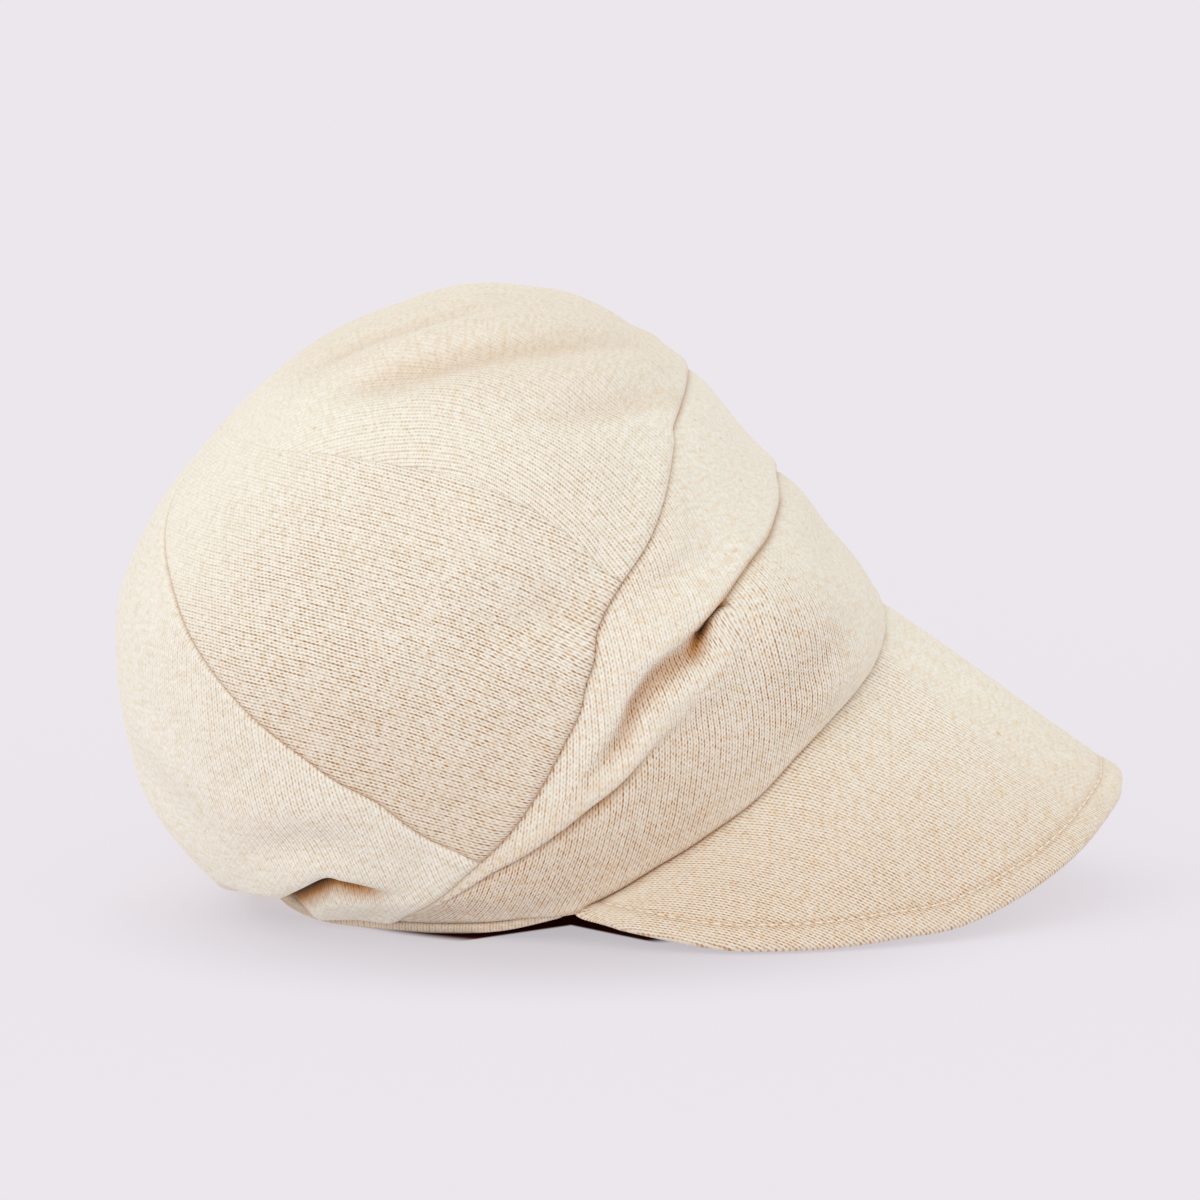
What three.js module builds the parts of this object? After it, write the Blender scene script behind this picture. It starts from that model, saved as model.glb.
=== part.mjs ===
// A soft knitted cap with a draped band and a stitched peak, lying on its own rim.
// Units are millimetres. +X runs forward along the peak, +Y to the wearer's left, +Z up.
// Crown and band are walls on one rounded form, whose outline seen from the side is a table of
// radii and whose width is a superellipse. Each sewn panel is a patch of that form between seams.
import * as THREE from "three";
import { mergeVertices } from "three/addons/utils/BufferGeometryUtils.js";

// The rounded form: its centre seen from the side, its half width, and how square its section is.
const FORM_CENTRE = new THREE.Vector2(-45, 82);
const FORM_HALF_WIDTH = 98;
const FORM_SQUARENESS = 2.3;
const CHART_RADIUS = 100;

// Walls, and the gap that sewn pieces keep to each other.
const KNIT_WALL = 2.0;
const PEAK_THICKNESS = 3.0;
const SEAM_GAP = 0.35;
const HEM_HEIGHT = 3.0;
const HEM_THICKNESS = 3.2;
const HEM_CHAMFER = 0.8;

// How far a wall is drawn in at a seam, and over what distance it comes back out.
const SEAM_TUCK = 1.1;
const SEAM_REACH = 5.0;
const RIM_REACH = 12.0;
const RIM_LIFT_REACH = 5.0;
const CALM_REACH = 8.0;
const FLOOR_CLEARANCE = 0.4;
const TIP_SETBACK = 0.8;
const HEM_STATIONS = 20;
const HEM_END = 0.99;

// The form's outline from the side: radius from its centre at each angle above the forward line.
const OUTLINE = [
  { angle: -165, radius: 102.4 },
  { angle: -150, radius: 104.4 },
  { angle: -135, radius: 105.6 },
  { angle: -120, radius: 102.0 },
  { angle: -105, radius: 104.5 },
  { angle: -90, radius: 109.5 },
  { angle: -75, radius: 119.0 },
  { angle: -60, radius: 120.8 },
  { angle: -45, radius: 118.8 },
  { angle: -30, radius: 117.0 },
  { angle: -15, radius: 116.3 },
  { angle: 0, radius: 121.6 },
  { angle: 15, radius: 105.0 },
  { angle: 30, radius: 96.6 },
  { angle: 45, radius: 95.6 },
  { angle: 60, radius: 95.4 },
  { angle: 75, radius: 94.8 },
  { angle: 90, radius: 93.4 },
  { angle: 105, radius: 90.2 },
  { angle: 120, radius: 88.0 },
  { angle: 135, radius: 88.0 },
  { angle: 150, radius: 90.4 },
  { angle: 165, radius: 95.0 },
  { angle: 180, radius: 100.6 },
];
const OUTLINE_STEP = 15;

// Seams seen from the side, in x and z. Each is the same on the left of the cap and on the right.
// A row marked middle lies on the cap's middle line.
const CROWN_TIP = { x: -115, z: 137.5, middle: true };
const TOP_SEAM = [
  CROWN_TIP,
  { x: -101, z: 137 },
  { x: -76, z: 137 },
  { x: -49, z: 133.5 },
  { x: -20, z: 121 },
  { x: 0.5, z: 103.6 },
];
const SIDE_SEAM = [
  CROWN_TIP,
  { x: -128.5, z: 114 },
  { x: -124, z: 91 },
  { x: -106, z: 68 },
  { x: -81, z: 48.5 },
  { x: -57, z: 33 },
  { x: -39.5, z: 24.5 },
];
const FRONT_SEAM_OVER_TOP = [
  { x: 0.5, z: 103.6 },
  { x: 9.5, z: 114 },
  { x: 13.5, z: 125 },
  { x: 17, z: 142 },
  { x: 20.2, z: 152, middle: true },
];
const FRONT_SEAM_BESIDE_PANEL = [
  { x: 0.5, z: 103.6 },
  { x: -4.2, z: 97 },
  { x: -9, z: 79 },
  { x: -16, z: 59 },
  { x: -26, z: 41 },
  { x: -39.5, z: 24.5 },
];
const FRONT_SEAM_TAIL = [
  { x: -39.5, z: 24.5 },
  { x: -50.6, z: 13.5 },
  { x: -66, z: 2 },
];
const PEAK_SEAM = [
  { x: -12.8, z: 11 },
  { x: 5.4, z: 17.6 },
  { x: 32, z: 33.7 },
  { x: 52, z: 51.3 },
  { x: 69, z: 67.2 },
  { x: 74.8, z: 76.5 },
  { x: 77, z: 84.5, middle: true },
];
// The rim. formX and formZ are where the rounded form is cut off; x, y and z are where that edge is
// drawn to, on the outside of the hem's underside. Behind, the cloth lies on the floor and turns
// in to it.
const RIM_BEHIND = [
  { formX: -103.5, formZ: -3.2, x: -100.5, y: 0, z: 0, middle: true },
  { formX: -100, formZ: -3.2, x: -97.2, y: 20.5, z: 0 },
  { formX: -94, formZ: -2.6, x: -92, y: 34.5, z: 0 },
  { formX: -86, formZ: -1.5, x: -85.5, y: 46.5, z: 0 },
  { formX: -78, formZ: 0, x: -77.7, y: 55.5, z: 0 },
  { formX: -66, formZ: 2, x: -66, y: 64, z: 0 },
];
const RIM_BESIDE = [
  { formX: -66, formZ: 2, x: -66, y: 64, z: 0 },
  { formX: -51, formZ: 3, x: -51, y: 70, z: 0 },
  { formX: -33, formZ: 4.8, x: -33, y: 76, z: 2.0 },
  { formX: -12.8, formZ: 11, x: -12.8, y: 79, z: 7.6 },
];

// The underside's outer edge of the peak, from its corner beside the cap to the middle of the front.
const PEAK_EDGE = [
  { x: -12.5, y: 79.6, z: 7.6 },
  { x: 5.4, y: 89.1, z: 3.9 },
  { x: 27.6, y: 94.6, z: 0.5 },
  { x: 44.3, y: 94.5, z: 0 },
  { x: 61, y: 90.5, z: 0.2 },
  { x: 78, y: 83.8, z: 1.5 },
  { x: 95.3, y: 74.7, z: 3.1 },
  { x: 113.7, y: 60.9, z: 9.6 },
  { x: 129.7, y: 43.7, z: 18.3 },
  { x: 141.6, y: 21.5, z: 28.2 },
  { x: 143.6, y: 11, z: 31.4 },
  { x: 144.3, y: 0, z: 32.6 },
];
const PEAK_CAMBER = 2.4;

// Folds in the cloth, seen from the side. depth is how far the valley goes in, width its half
// width, above and below how far the rolls on its two sides stand out, fade the share of its
// length over which each end dies away.
const FOLDS = [
  {
    name: "pleat", depth: 4.6, width: 6.0, above: 1.6, below: 3.0, fadeIn: 0, fadeOut: 0.3,
    path: [
      { x: 44.6, z: 123 }, { x: 44.7, z: 116.6 }, { x: 42, z: 111.4 }, { x: 30, z: 98.5 },
      { x: 20.6, z: 89.4 }, { x: 7, z: 80 }, { x: -1.6, z: 63.3 },
    ],
  },
  {
    name: "crease", depth: 2.6, width: 5.5, above: 1.6, below: 0.6, fadeIn: 0.3, fadeOut: 0.15,
    path: [
      { x: 22, z: 71.7 }, { x: 9.2, z: 58.7 }, { x: -11.4, z: 39.3 }, { x: -34, z: 23 },
      { x: -52, z: 10 },
    ],
  },
  {
    name: "roll_over_hem", depth: 4.0, width: 6.0, above: 2.0, below: 1.0, fadeIn: 0.2, fadeOut: 0.3,
    path: [
      { x: -103, z: 5 }, { x: -95, z: 9.5 }, { x: -82.5, z: 17.5 }, { x: -70, z: 15.6 },
      { x: -58, z: 16 },
    ],
  },
  {
    name: "dent_at_front_seam", depth: 2.0, width: 8, above: 0.8, below: 0.8, fadeIn: 0.1, fadeOut: 0.6,
    path: [{ x: -3.9, z: 98.2 }, { x: -17, z: 97.6 }, { x: -33, z: 94 }, { x: -53, z: 90.8 }],
  },
  {
    name: "low_top_fold", depth: 2.0, width: 8, above: 1.4, below: 0.4, fadeIn: 0.1, fadeOut: 0.5,
    path: [{ x: 18, z: 148.6 }, { x: 5.4, z: 150 }, { x: -17, z: 148 }, { x: -40, z: 143 }],
  },
  {
    name: "middle_top_fold", depth: 2.4, width: 8, above: 1.6, below: 1.0, fadeIn: 0.3, fadeOut: 0.3,
    path: [{ x: 11.4, z: 159 }, { x: -6, z: 165 }, { x: -34, z: 165 }, { x: -62, z: 158 }, { x: -90, z: 148 }],
  },
  {
    name: "dip_above_peak_seam", depth: 2.6, width: 9, above: 1.2, below: 1.2, fadeIn: 0.1, fadeOut: 0.5,
    path: [{ x: 70, z: 89.8 }, { x: 63.4, z: 81.8 }, { x: 51.8, z: 72.4 }, { x: 37.6, z: 59.5 }],
  },
];
const FOLD_SAMPLES = 28;
const LINE_SAMPLES = 96;
const ROLL_OFFSET = 1.7;

// Grid cells along each seam, the same in the two pieces that meet there, and across the rest.
const CELLS = {
  crownSeams: 16,
  frontOverTop: 8,
  frontBesidePanel: 11,
  frontTail: 13,
  rimBeside: 16,
  peakSeam: 16,
  bandHeight: 12,
  peakDepth: 5,
};

const CREAM = new THREE.MeshStandardMaterial({ color: 0xe9dcc6, roughness: 0.92, metalness: 0 });
const CREAM_PEAK = new THREE.MeshStandardMaterial({ color: 0xe5d7c4, roughness: 0.9, metalness: 0 });
const CREAM_HEM = new THREE.MeshStandardMaterial({ color: 0xdcccb2, roughness: 0.95, metalness: 0 });

// Smooth curve value between the two middle ones of four evenly spaced values.
function smoothBetween(before, from, to, after, share) {
  const bend = 2 * before - 5 * from + 4 * to - after + share * (3 * (from - to) + after - before);
  return from + 0.5 * share * (to - before + share * bend);
}

function outlineRadius(angle) {
  const count = OUTLINE.length;
  const place = (THREE.MathUtils.radToDeg(angle) - OUTLINE[0].angle) / OUTLINE_STEP + count;
  const row = Math.floor(place);
  const radius = (shift) => OUTLINE[(row + shift) % count].radius;
  return smoothBetween(radius(-1), radius(0), radius(1), radius(2), place - row);
}

// A chart point is a place on the right half of the form: its distance from the chart's middle is
// the angle away from the side of the form, times CHART_RADIUS, and its direction is the angle
// seen from the side. The middle line of the cap is the circle at a right angle.
function formPoint(chart) {
  const lean = chart.length() / CHART_RADIUS;
  const angle = Math.atan2(chart.y, chart.x);
  const outward = Math.sin(lean);
  const sideways = Math.cos(lean);
  const powers = Math.abs(outward) ** FORM_SQUARENESS + Math.abs(sideways) ** FORM_SQUARENESS;
  const size = powers ** (-1 / FORM_SQUARENESS);
  const radius = outlineRadius(angle) * size * outward;
  return new THREE.Vector3(
    FORM_CENTRE.x + radius * Math.cos(angle),
    -FORM_HALF_WIDTH * size * sideways,
    FORM_CENTRE.y + radius * Math.sin(angle),
  );
}

function chartOf({ x, z, middle }) {
  const from = new THREE.Vector2(x - FORM_CENTRE.x, z - FORM_CENTRE.y);
  const angle = Math.atan2(from.y, from.x);
  const outward = middle ? 1 : Math.min(1, from.length() / outlineRadius(angle));
  const sideways = (1 - outward ** FORM_SQUARENESS) ** (1 / FORM_SQUARENESS);
  const lean = Math.atan2(outward, sideways);
  return new THREE.Vector2(Math.cos(angle), Math.sin(angle)).multiplyScalar(lean * CHART_RADIUS);
}

function formNormal(chart) {
  const step = 0.5;
  const shifted = (dx, dy) => formPoint(new THREE.Vector2(chart.x + dx, chart.y + dy));
  const alongX = shifted(step, 0).sub(shifted(-step, 0));
  const alongY = shifted(0, step).sub(shifted(0, -step));
  return alongX.cross(alongY).normalize();
}

// The far side's twin of a chart point, beyond the circle of the middle line.
function twinChart(chart) {
  return chart.clone().setLength(Math.PI * CHART_RADIUS - chart.length());
}

// An even walk along a line of points: the point at a share of its whole length.
function evenWalk(points) {
  const reached = [0];
  for (let i = 1; i < points.length; i++) reached.push(reached[i - 1] + points[i].distanceTo(points[i - 1]));
  const whole = reached.at(-1);
  return (share) => {
    const wanted = THREE.MathUtils.clamp(share, 0, 1) * whole;
    let i = reached.findIndex((length) => length >= wanted);
    i = Math.max(1, i);
    const place = (wanted - reached[i - 1]) / (reached[i] - reached[i - 1]);
    return points[i - 1].clone().lerp(points[i], place);
  };
}

// A smooth curve through points, with the twins of its first points put before it, or of its last
// ones after it, so that it crosses the middle line squarely there.
function smoothLine(points, Curve, twin, { roundStart, roundEnd }) {
  const before = roundStart ? points.slice(1, 3).reverse().map(twin) : [];
  const after = roundEnd ? points.slice(-3, -1).reverse().map(twin) : [];
  const curve = new Curve([...before, ...points, ...after]);
  const spans = before.length + points.length + after.length - 1;
  const from = before.length / spans;
  const to = (before.length + points.length - 1) / spans;
  return Array.from({ length: LINE_SAMPLES + 1 }, (_, i) => curve.getPoint(from + ((to - from) * i) / LINE_SAMPLES));
}

function seamLine(rows, rounding = {}) {
  return smoothLine(rows.map(chartOf), THREE.SplineCurve, twinChart, rounding);
}

function seamCurve(rows, rounding = {}) {
  return evenWalk(seamLine(rows, rounding));
}

// The middle line between two places on it, as an arc of the chart's right-angle circle.
function middleLine(from, to) {
  const start = chartOf(from).angle();
  let sweep = chartOf(to).angle() - start;
  if (sweep > Math.PI) sweep -= 2 * Math.PI;
  if (sweep < -Math.PI) sweep += 2 * Math.PI;
  const reach = (Math.PI / 2) * CHART_RADIUS;
  return (share) => new THREE.Vector2(reach, 0).rotateAround(new THREE.Vector2(), start + sweep * share);
}

// A smooth patch between four edges that meet at its corners.
function patchBetween(low, high, left, right) {
  return (s, t) => {
    const across = low(s).multiplyScalar(1 - t).add(high(s).multiplyScalar(t));
    const along = left(t).multiplyScalar(1 - s).add(right(t).multiplyScalar(s));
    const corners = low(0).multiplyScalar((1 - s) * (1 - t))
      .add(low(1).multiplyScalar(s * (1 - t)))
      .add(high(0).multiplyScalar((1 - s) * t))
      .add(high(1).multiplyScalar(s * t));
    return across.add(along).sub(corners);
  };
}

const foldLines = FOLDS.map((fold) => {
  const curve = seamCurve(fold.path);
  const points = Array.from({ length: FOLD_SAMPLES + 1 }, (_, i) => curve(i / FOLD_SAMPLES));
  return { ...fold, points };
});

function bell(distance, width) {
  return Math.exp(-((distance / width) ** 2));
}

// How strong a fold is at a share of its length: full in its middle, nothing at a faded end.
function foldStrength(share, fadeIn, fadeOut) {
  const start = fadeIn > 0 ? THREE.MathUtils.smoothstep(share, 0, fadeIn) : 1;
  const end = fadeOut > 0 ? THREE.MathUtils.smoothstep(1 - share, 0, fadeOut) : 1;
  return start * end;
}

// How far the folds push a chart point outward.
function foldRelief(chart) {
  let relief = 0;
  for (const fold of foldLines) {
    let nearest = Infinity;
    let side = 1;
    let share = 0;
    for (let i = 0; i < FOLD_SAMPLES; i++) {
      const from = fold.points[i];
      const along = fold.points[i + 1].clone().sub(from);
      const toPoint = chart.clone().sub(from);
      const place = THREE.MathUtils.clamp(toPoint.dot(along) / along.lengthSq(), 0, 1);
      const away = toPoint.clone().sub(along.clone().multiplyScalar(place));
      if (away.length() < nearest) {
        nearest = away.length();
        side = Math.sign(along.cross(toPoint)) || 1;
        share = (i + place) / FOLD_SAMPLES;
      }
    }
    const distance = nearest * side * upperSide(fold);
    const roll = fold.width * ROLL_OFFSET;
    const shape =
      fold.above * bell(distance - roll, fold.width) +
      fold.below * bell(distance + roll, fold.width) -
      fold.depth * bell(distance, fold.width);
    relief += shape * foldStrength(share, fold.fadeIn, fold.fadeOut);
  }
  return relief;
}

// Which side of a fold's line is its upper one, by the way that the line runs.
function upperSide(fold) {
  const first = fold.points[0];
  const last = fold.points[FOLD_SAMPLES];
  return last.x < first.x ? -1 : 1;
}

function fallOff(distance, reach) {
  return THREE.MathUtils.smoothstep(reach - distance, 0, reach);
}

// A line of points, with the place on it that is nearest to a point: its distance and its share.
function nearestOn(line, point) {
  let distance = Infinity;
  let share = 0;
  for (let i = 0; i < line.length - 1; i++) {
    const along = line[i + 1].clone().sub(line[i]);
    const place = THREE.MathUtils.clamp(point.clone().sub(line[i]).dot(along) / along.lengthSq(), 0, 1);
    const away = line[i].clone().addScaledVector(along, place).distanceTo(point);
    if (away < distance) {
      distance = away;
      share = (i + place) / (line.length - 1);
    }
  }
  return { distance, share };
}

// The rim on the right side: the edge of the form, and what each place on it is drawn to.
const rimBehindLine = smoothLine(
  RIM_BEHIND.map(({ formX, formZ, middle }) => chartOf({ x: formX, z: formZ, middle })),
  THREE.SplineCurve,
  twinChart,
  { roundStart: true },
);
const rimBesideLine = smoothLine(
  RIM_BESIDE.map(({ formX, formZ }) => chartOf({ x: formX, z: formZ })),
  THREE.SplineCurve,
  twinChart,
  {},
);
const hemPoint = ({ x, y, z }) => new THREE.Vector3(x, -y, z);
const mirrored = (point) => new THREE.Vector3(point.x, -point.y, point.z);
const hemBehindLine = smoothLine(RIM_BEHIND.map(hemPoint), THREE.CatmullRomCurve3, mirrored, { roundStart: true });
const hemBesideLine = smoothLine(RIM_BESIDE.map(hemPoint), THREE.CatmullRomCurve3, mirrored, {});
const rimEdge = [...rimBehindLine, ...rimBesideLine.slice(1)].map(formPoint);
const hemLine = [...hemBehindLine, ...hemBesideLine.slice(1)];
const rimPull = rimEdge.map((point, i) => hemLine[i].clone().sub(point));
const rimBehind = evenWalk(rimBehindLine);
const rimBeside = evenWalk(rimBesideLine);
const hemWalk = evenWalk(hemLine);

const topSeam = seamLine(TOP_SEAM, { roundStart: true });
const sideSeam = seamLine(SIDE_SEAM);
const frontOverTop = seamLine(FRONT_SEAM_OVER_TOP, { roundEnd: true });
const frontBesidePanel = seamLine(FRONT_SEAM_BESIDE_PANEL);
const frontTail = seamLine(FRONT_SEAM_TAIL);
const seamLines = [topSeam, sideSeam, frontOverTop, frontBesidePanel, frontTail];
const peakSeamChart = seamLine(PEAK_SEAM, { roundEnd: true });
const peakSeam = evenWalk(peakSeamChart);
const peakSeamLine = peakSeamChart.map(formPoint);

// The cloth's outside and inside at a chart point: the form, drawn in at the seams, pushed out and
// in by the folds, and drawn to the hem near the rim.
function clothPoints(chart) {
  const base = formPoint(chart);
  const normal = formNormal(chart);
  const rim = nearestOn(rimEdge, base);
  const toPeak = nearestOn(peakSeamLine, base).distance;
  const toSeam = Math.min(...seamLines.map((line) => nearestOn(line, chart).distance));
  const calm = (1 - fallOff(rim.distance, CALM_REACH)) * (1 - fallOff(toPeak, CALM_REACH));
  const out = (foldRelief(chart) - SEAM_TUCK * fallOff(toSeam, SEAM_REACH)) * calm;
  const place = rim.share * (rimPull.length - 1);
  const row = Math.min(Math.floor(place), rimPull.length - 2);
  const pull = rimPull[row].clone().lerp(rimPull[row + 1], place - row);
  const hemTop = THREE.MathUtils.lerp(hemLine[row].z, hemLine[row + 1].z, place - row) + HEM_HEIGHT + SEAM_GAP;
  const drawn = fallOff(rim.distance, RIM_REACH);
  const outside = base.addScaledVector(normal, out).add(new THREE.Vector3(pull.x, pull.y, 0).multiplyScalar(drawn));
  outside.z = Math.max(outside.z, FLOOR_CLEARANCE);
  outside.z += (hemTop - outside.z) * fallOff(rim.distance, RIM_LIFT_REACH);
  return { outside, inside: outside.clone().addScaledVector(normal, -KNIT_WALL) };
}

// Rows of points on the outside of a panel and on its inside.
function panelWalls(patch, along, across) {
  const cloth = Array.from({ length: along + 1 }, (_, i) =>
    Array.from({ length: across + 1 }, (_, j) => clothPoints(patch(i / along, j / across))),
  );
  return [cloth.map((row) => row.map((p) => p.outside)), cloth.map((row) => row.map((p) => p.inside))];
}

// Draws the outer rows and columns of a panel in by half the seam gap, outside and inside alike,
// and sets a pointed end back a little.
function openSeams(outside, inside, open) {
  const last = { i: outside.length - 1, j: outside[0].length - 1 };
  const shifts = [];
  const shrink = (i, j, ni, nj, size) => {
    const inward = outside[ni][nj].clone().sub(outside[i][j]);
    const step = Math.min(size, inward.length() / 2.2);
    if (step > 0) shifts.push([i, j, inward.setLength(step)]);
  };
  for (let i = 0; i <= last.i; i++) {
    if (open.includes("low")) shrink(i, 0, i, 1, SEAM_GAP / 2);
    if (open.includes("high")) shrink(i, last.j, i, last.j - 1, SEAM_GAP / 2);
  }
  for (let j = 0; j <= last.j; j++) {
    if (open.includes("left")) shrink(0, j, 1, j, SEAM_GAP / 2);
    if (open.includes("right")) shrink(last.i, j, last.i - 1, j, SEAM_GAP / 2);
    if (open.includes("point")) shrink(0, j, 1, open.includes("high") ? Math.round(last.j / 2) : last.j, TIP_SETBACK);
  }
  for (const [i, j, shift] of shifts) {
    outside[i][j].add(shift);
    inside[i][j].add(shift);
  }
}

// The rows of a right half whose last column lies on the middle line, carried over to the left.
function bothHalves(rows) {
  return rows.map((row) => {
    const middle = row[row.length - 1].clone().setY(0);
    const left = row.slice(0, -1).reverse().map(mirrored);
    return [...row.slice(0, -1), middle, ...left];
  });
}

function transposed(rows) {
  return rows[0].map((_, j) => rows.map((row) => row[j]));
}

// A closed wall between two grids of points that have the same rows and columns.
function wallGeometry(outside, inside) {
  const rows = outside.length;
  const columns = outside[0].length;
  const positions = [];
  const addTriangle = (a, b, c) => positions.push(...a.toArray(), ...b.toArray(), ...c.toArray());
  const addQuad = (a, b, c, d) => {
    addTriangle(a, b, c);
    addTriangle(a, c, d);
  };
  for (let i = 0; i < rows - 1; i++) {
    for (let j = 0; j < columns - 1; j++) {
      addQuad(outside[i][j], outside[i + 1][j], outside[i + 1][j + 1], outside[i][j + 1]);
      addQuad(inside[i][j], inside[i][j + 1], inside[i + 1][j + 1], inside[i + 1][j]);
    }
  }
  for (let i = 0; i < rows - 1; i++) {
    const last = columns - 1;
    addQuad(outside[i][0], inside[i][0], inside[i + 1][0], outside[i + 1][0]);
    addQuad(outside[i + 1][last], inside[i + 1][last], inside[i][last], outside[i][last]);
  }
  for (let j = 0; j < columns - 1; j++) {
    const last = rows - 1;
    addQuad(outside[0][j + 1], inside[0][j + 1], inside[0][j], outside[0][j]);
    addQuad(outside[last][j], inside[last][j], inside[last][j + 1], outside[last][j + 1]);
  }
  return facingOut(closedMesh(positions));
}

// Merges the shared corners of a list of triangles and drops those that have no area.
function closedMesh(positions) {
  const loose = new THREE.BufferGeometry();
  loose.setAttribute("position", new THREE.Float32BufferAttribute(positions, 3));
  const merged = mergeVertices(loose, 1e-3);
  const kept = [];
  for (let i = 0; i < merged.index.count; i += 3) {
    const [a, b, c] = [0, 1, 2].map((k) => merged.index.getX(i + k));
    if (a !== b && b !== c && c !== a) kept.push(a, b, c);
  }
  merged.setIndex(kept);
  return merged;
}

function facingOut(geometry) {
  const corner = (k) => new THREE.Vector3().fromBufferAttribute(geometry.attributes.position, k);
  const index = Array.from(geometry.index.array);
  let volume = 0;
  for (let i = 0; i < index.length; i += 3) {
    const [a, b, c] = [index[i], index[i + 1], index[i + 2]].map(corner);
    volume += a.dot(b.cross(c));
  }
  if (volume < 0) {
    for (let i = 0; i < index.length; i += 3) [index[i + 1], index[i + 2]] = [index[i + 2], index[i + 1]];
    geometry.setIndex(index);
  }
  geometry.computeVertexNormals();
  return geometry;
}

// Several edges one after the other as one, each with its own number of cells.
function joined(parts) {
  const total = parts.reduce((sum, part) => sum + part.cells, 0);
  return (share) => {
    let place = share * total;
    for (const part of parts) {
      if (place <= part.cells + 1e-9) return part.curve(place / part.cells);
      place -= part.cells;
    }
    return parts.at(-1).curve(1);
  };
}

const tip = () => chartOf(CROWN_TIP);
const reversed = (curve) => (share) => curve(1 - share);

function topPanel() {
  const middle = middleLine(CROWN_TIP, FRONT_SEAM_OVER_TOP.at(-1));
  const patch = patchBetween(evenWalk(topSeam), middle, tip, evenWalk(frontOverTop));
  const walls = panelWalls(patch, CELLS.crownSeams, CELLS.frontOverTop);
  openSeams(...walls, ["low", "point", "right"]);
  return wallGeometry(...walls.map(bothHalves));
}

function sidePanel(side) {
  const patch = patchBetween(evenWalk(topSeam), evenWalk(sideSeam), tip, evenWalk(frontBesidePanel));
  const walls = panelWalls(patch, CELLS.crownSeams, CELLS.frontBesidePanel);
  openSeams(...walls, ["low", "high", "point", "right"]);
  return wallGeometry(...walls.map((rows) => (side > 0 ? rows.map((row) => row.map(mirrored)) : rows)));
}

function backPanel() {
  const middle = middleLine(CROWN_TIP, { x: RIM_BEHIND[0].formX, z: RIM_BEHIND[0].formZ });
  const patch = patchBetween(evenWalk(sideSeam), rimBehind, middle, evenWalk(frontTail));
  const walls = panelWalls(patch, CELLS.crownSeams, CELLS.frontTail);
  openSeams(...walls, ["low", "right"]);
  return wallGeometry(...walls.map((rows) => bothHalves(transposed([...rows].reverse()))));
}

// The band runs from its point at the rim to the middle of the front. Its upper edge is the seam
// with the crown, and its lower edge is the hem as far as the peak's corner, then the peak's seam.
function bandPanel() {
  const upper = joined([
    { curve: reversed(evenWalk(frontTail)), cells: CELLS.frontTail },
    { curve: reversed(evenWalk(frontBesidePanel)), cells: CELLS.frontBesidePanel },
    { curve: evenWalk(frontOverTop), cells: CELLS.frontOverTop },
  ]);
  const lower = joined([
    { curve: rimBeside, cells: CELLS.rimBeside },
    { curve: peakSeam, cells: CELLS.peakSeam },
  ]);
  const middle = middleLine(FRONT_SEAM_OVER_TOP.at(-1), PEAK_SEAM.at(-1));
  const end = () => chartOf(FRONT_SEAM_TAIL.at(-1));
  const patch = patchBetween(upper, lower, end, middle);
  const walls = panelWalls(patch, CELLS.rimBeside + CELLS.peakSeam, CELLS.bandHeight);
  openSeams(...walls, ["low", "point"]);
  return wallGeometry(...walls.map((rows) => bothHalves(transposed(rows))));
}

// The peak: rows run from the cap's seam out to the free edge, columns from corner to corner.
function peakPanel() {
  const edgeLine = smoothLine(PEAK_EDGE.map(hemPoint), THREE.CatmullRomCurve3, mirrored, { roundEnd: true });
  const edge = evenWalk(edgeLine);
  const half = CELLS.peakSeam;
  const outward = CELLS.peakDepth;
  const rightColumns = [];
  for (let i = 0; i <= half; i++) {
    const share = i / half;
    const inner = formPoint(peakSeam(share));
    const outer = edge(share);
    const depth = outer.clone().sub(inner);
    inner.addScaledVector(depth.clone().normalize(), SEAM_GAP);
    const up = edge(share + 0.02).sub(edge(share - 0.02)).cross(depth).normalize();
    outer.addScaledVector(up, up.z < 0 ? -PEAK_THICKNESS : PEAK_THICKNESS);
    const camber = PEAK_CAMBER * Math.sin(Math.PI * (1 - share));
    const column = [];
    for (let j = 0; j <= outward; j++) {
      const point = inner.clone().lerp(outer, j / outward);
      point.z += camber * Math.sin((Math.PI * j) / outward);
      column.push(point);
    }
    rightColumns.push(column);
  }
  const top = bothHalves(transposed(rightColumns));
  const under = top.map((row, i) =>
    row.map((point, j) => {
      const below = point.clone().addScaledVector(gridNormal(top, i, j), -PEAK_THICKNESS);
      return below.setZ(Math.max(0, below.z));
    }),
  );
  return wallGeometry(top, under);
}

// The upward normal of a grid of points, from the neighbours of one of them.
function gridNormal(grid, i, j) {
  const clampRow = (k) => THREE.MathUtils.clamp(k, 0, grid.length - 1);
  const clampColumn = (k) => THREE.MathUtils.clamp(k, 0, grid[0].length - 1);
  const alongRow = grid[i][clampColumn(j + 1)].clone().sub(grid[i][clampColumn(j - 1)]);
  const acrossRows = grid[clampRow(i + 1)][j].clone().sub(grid[clampRow(i - 1)][j]);
  const normal = alongRow.cross(acrossRows).normalize();
  return normal.z < 0 ? normal.negate() : normal;
}

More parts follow.
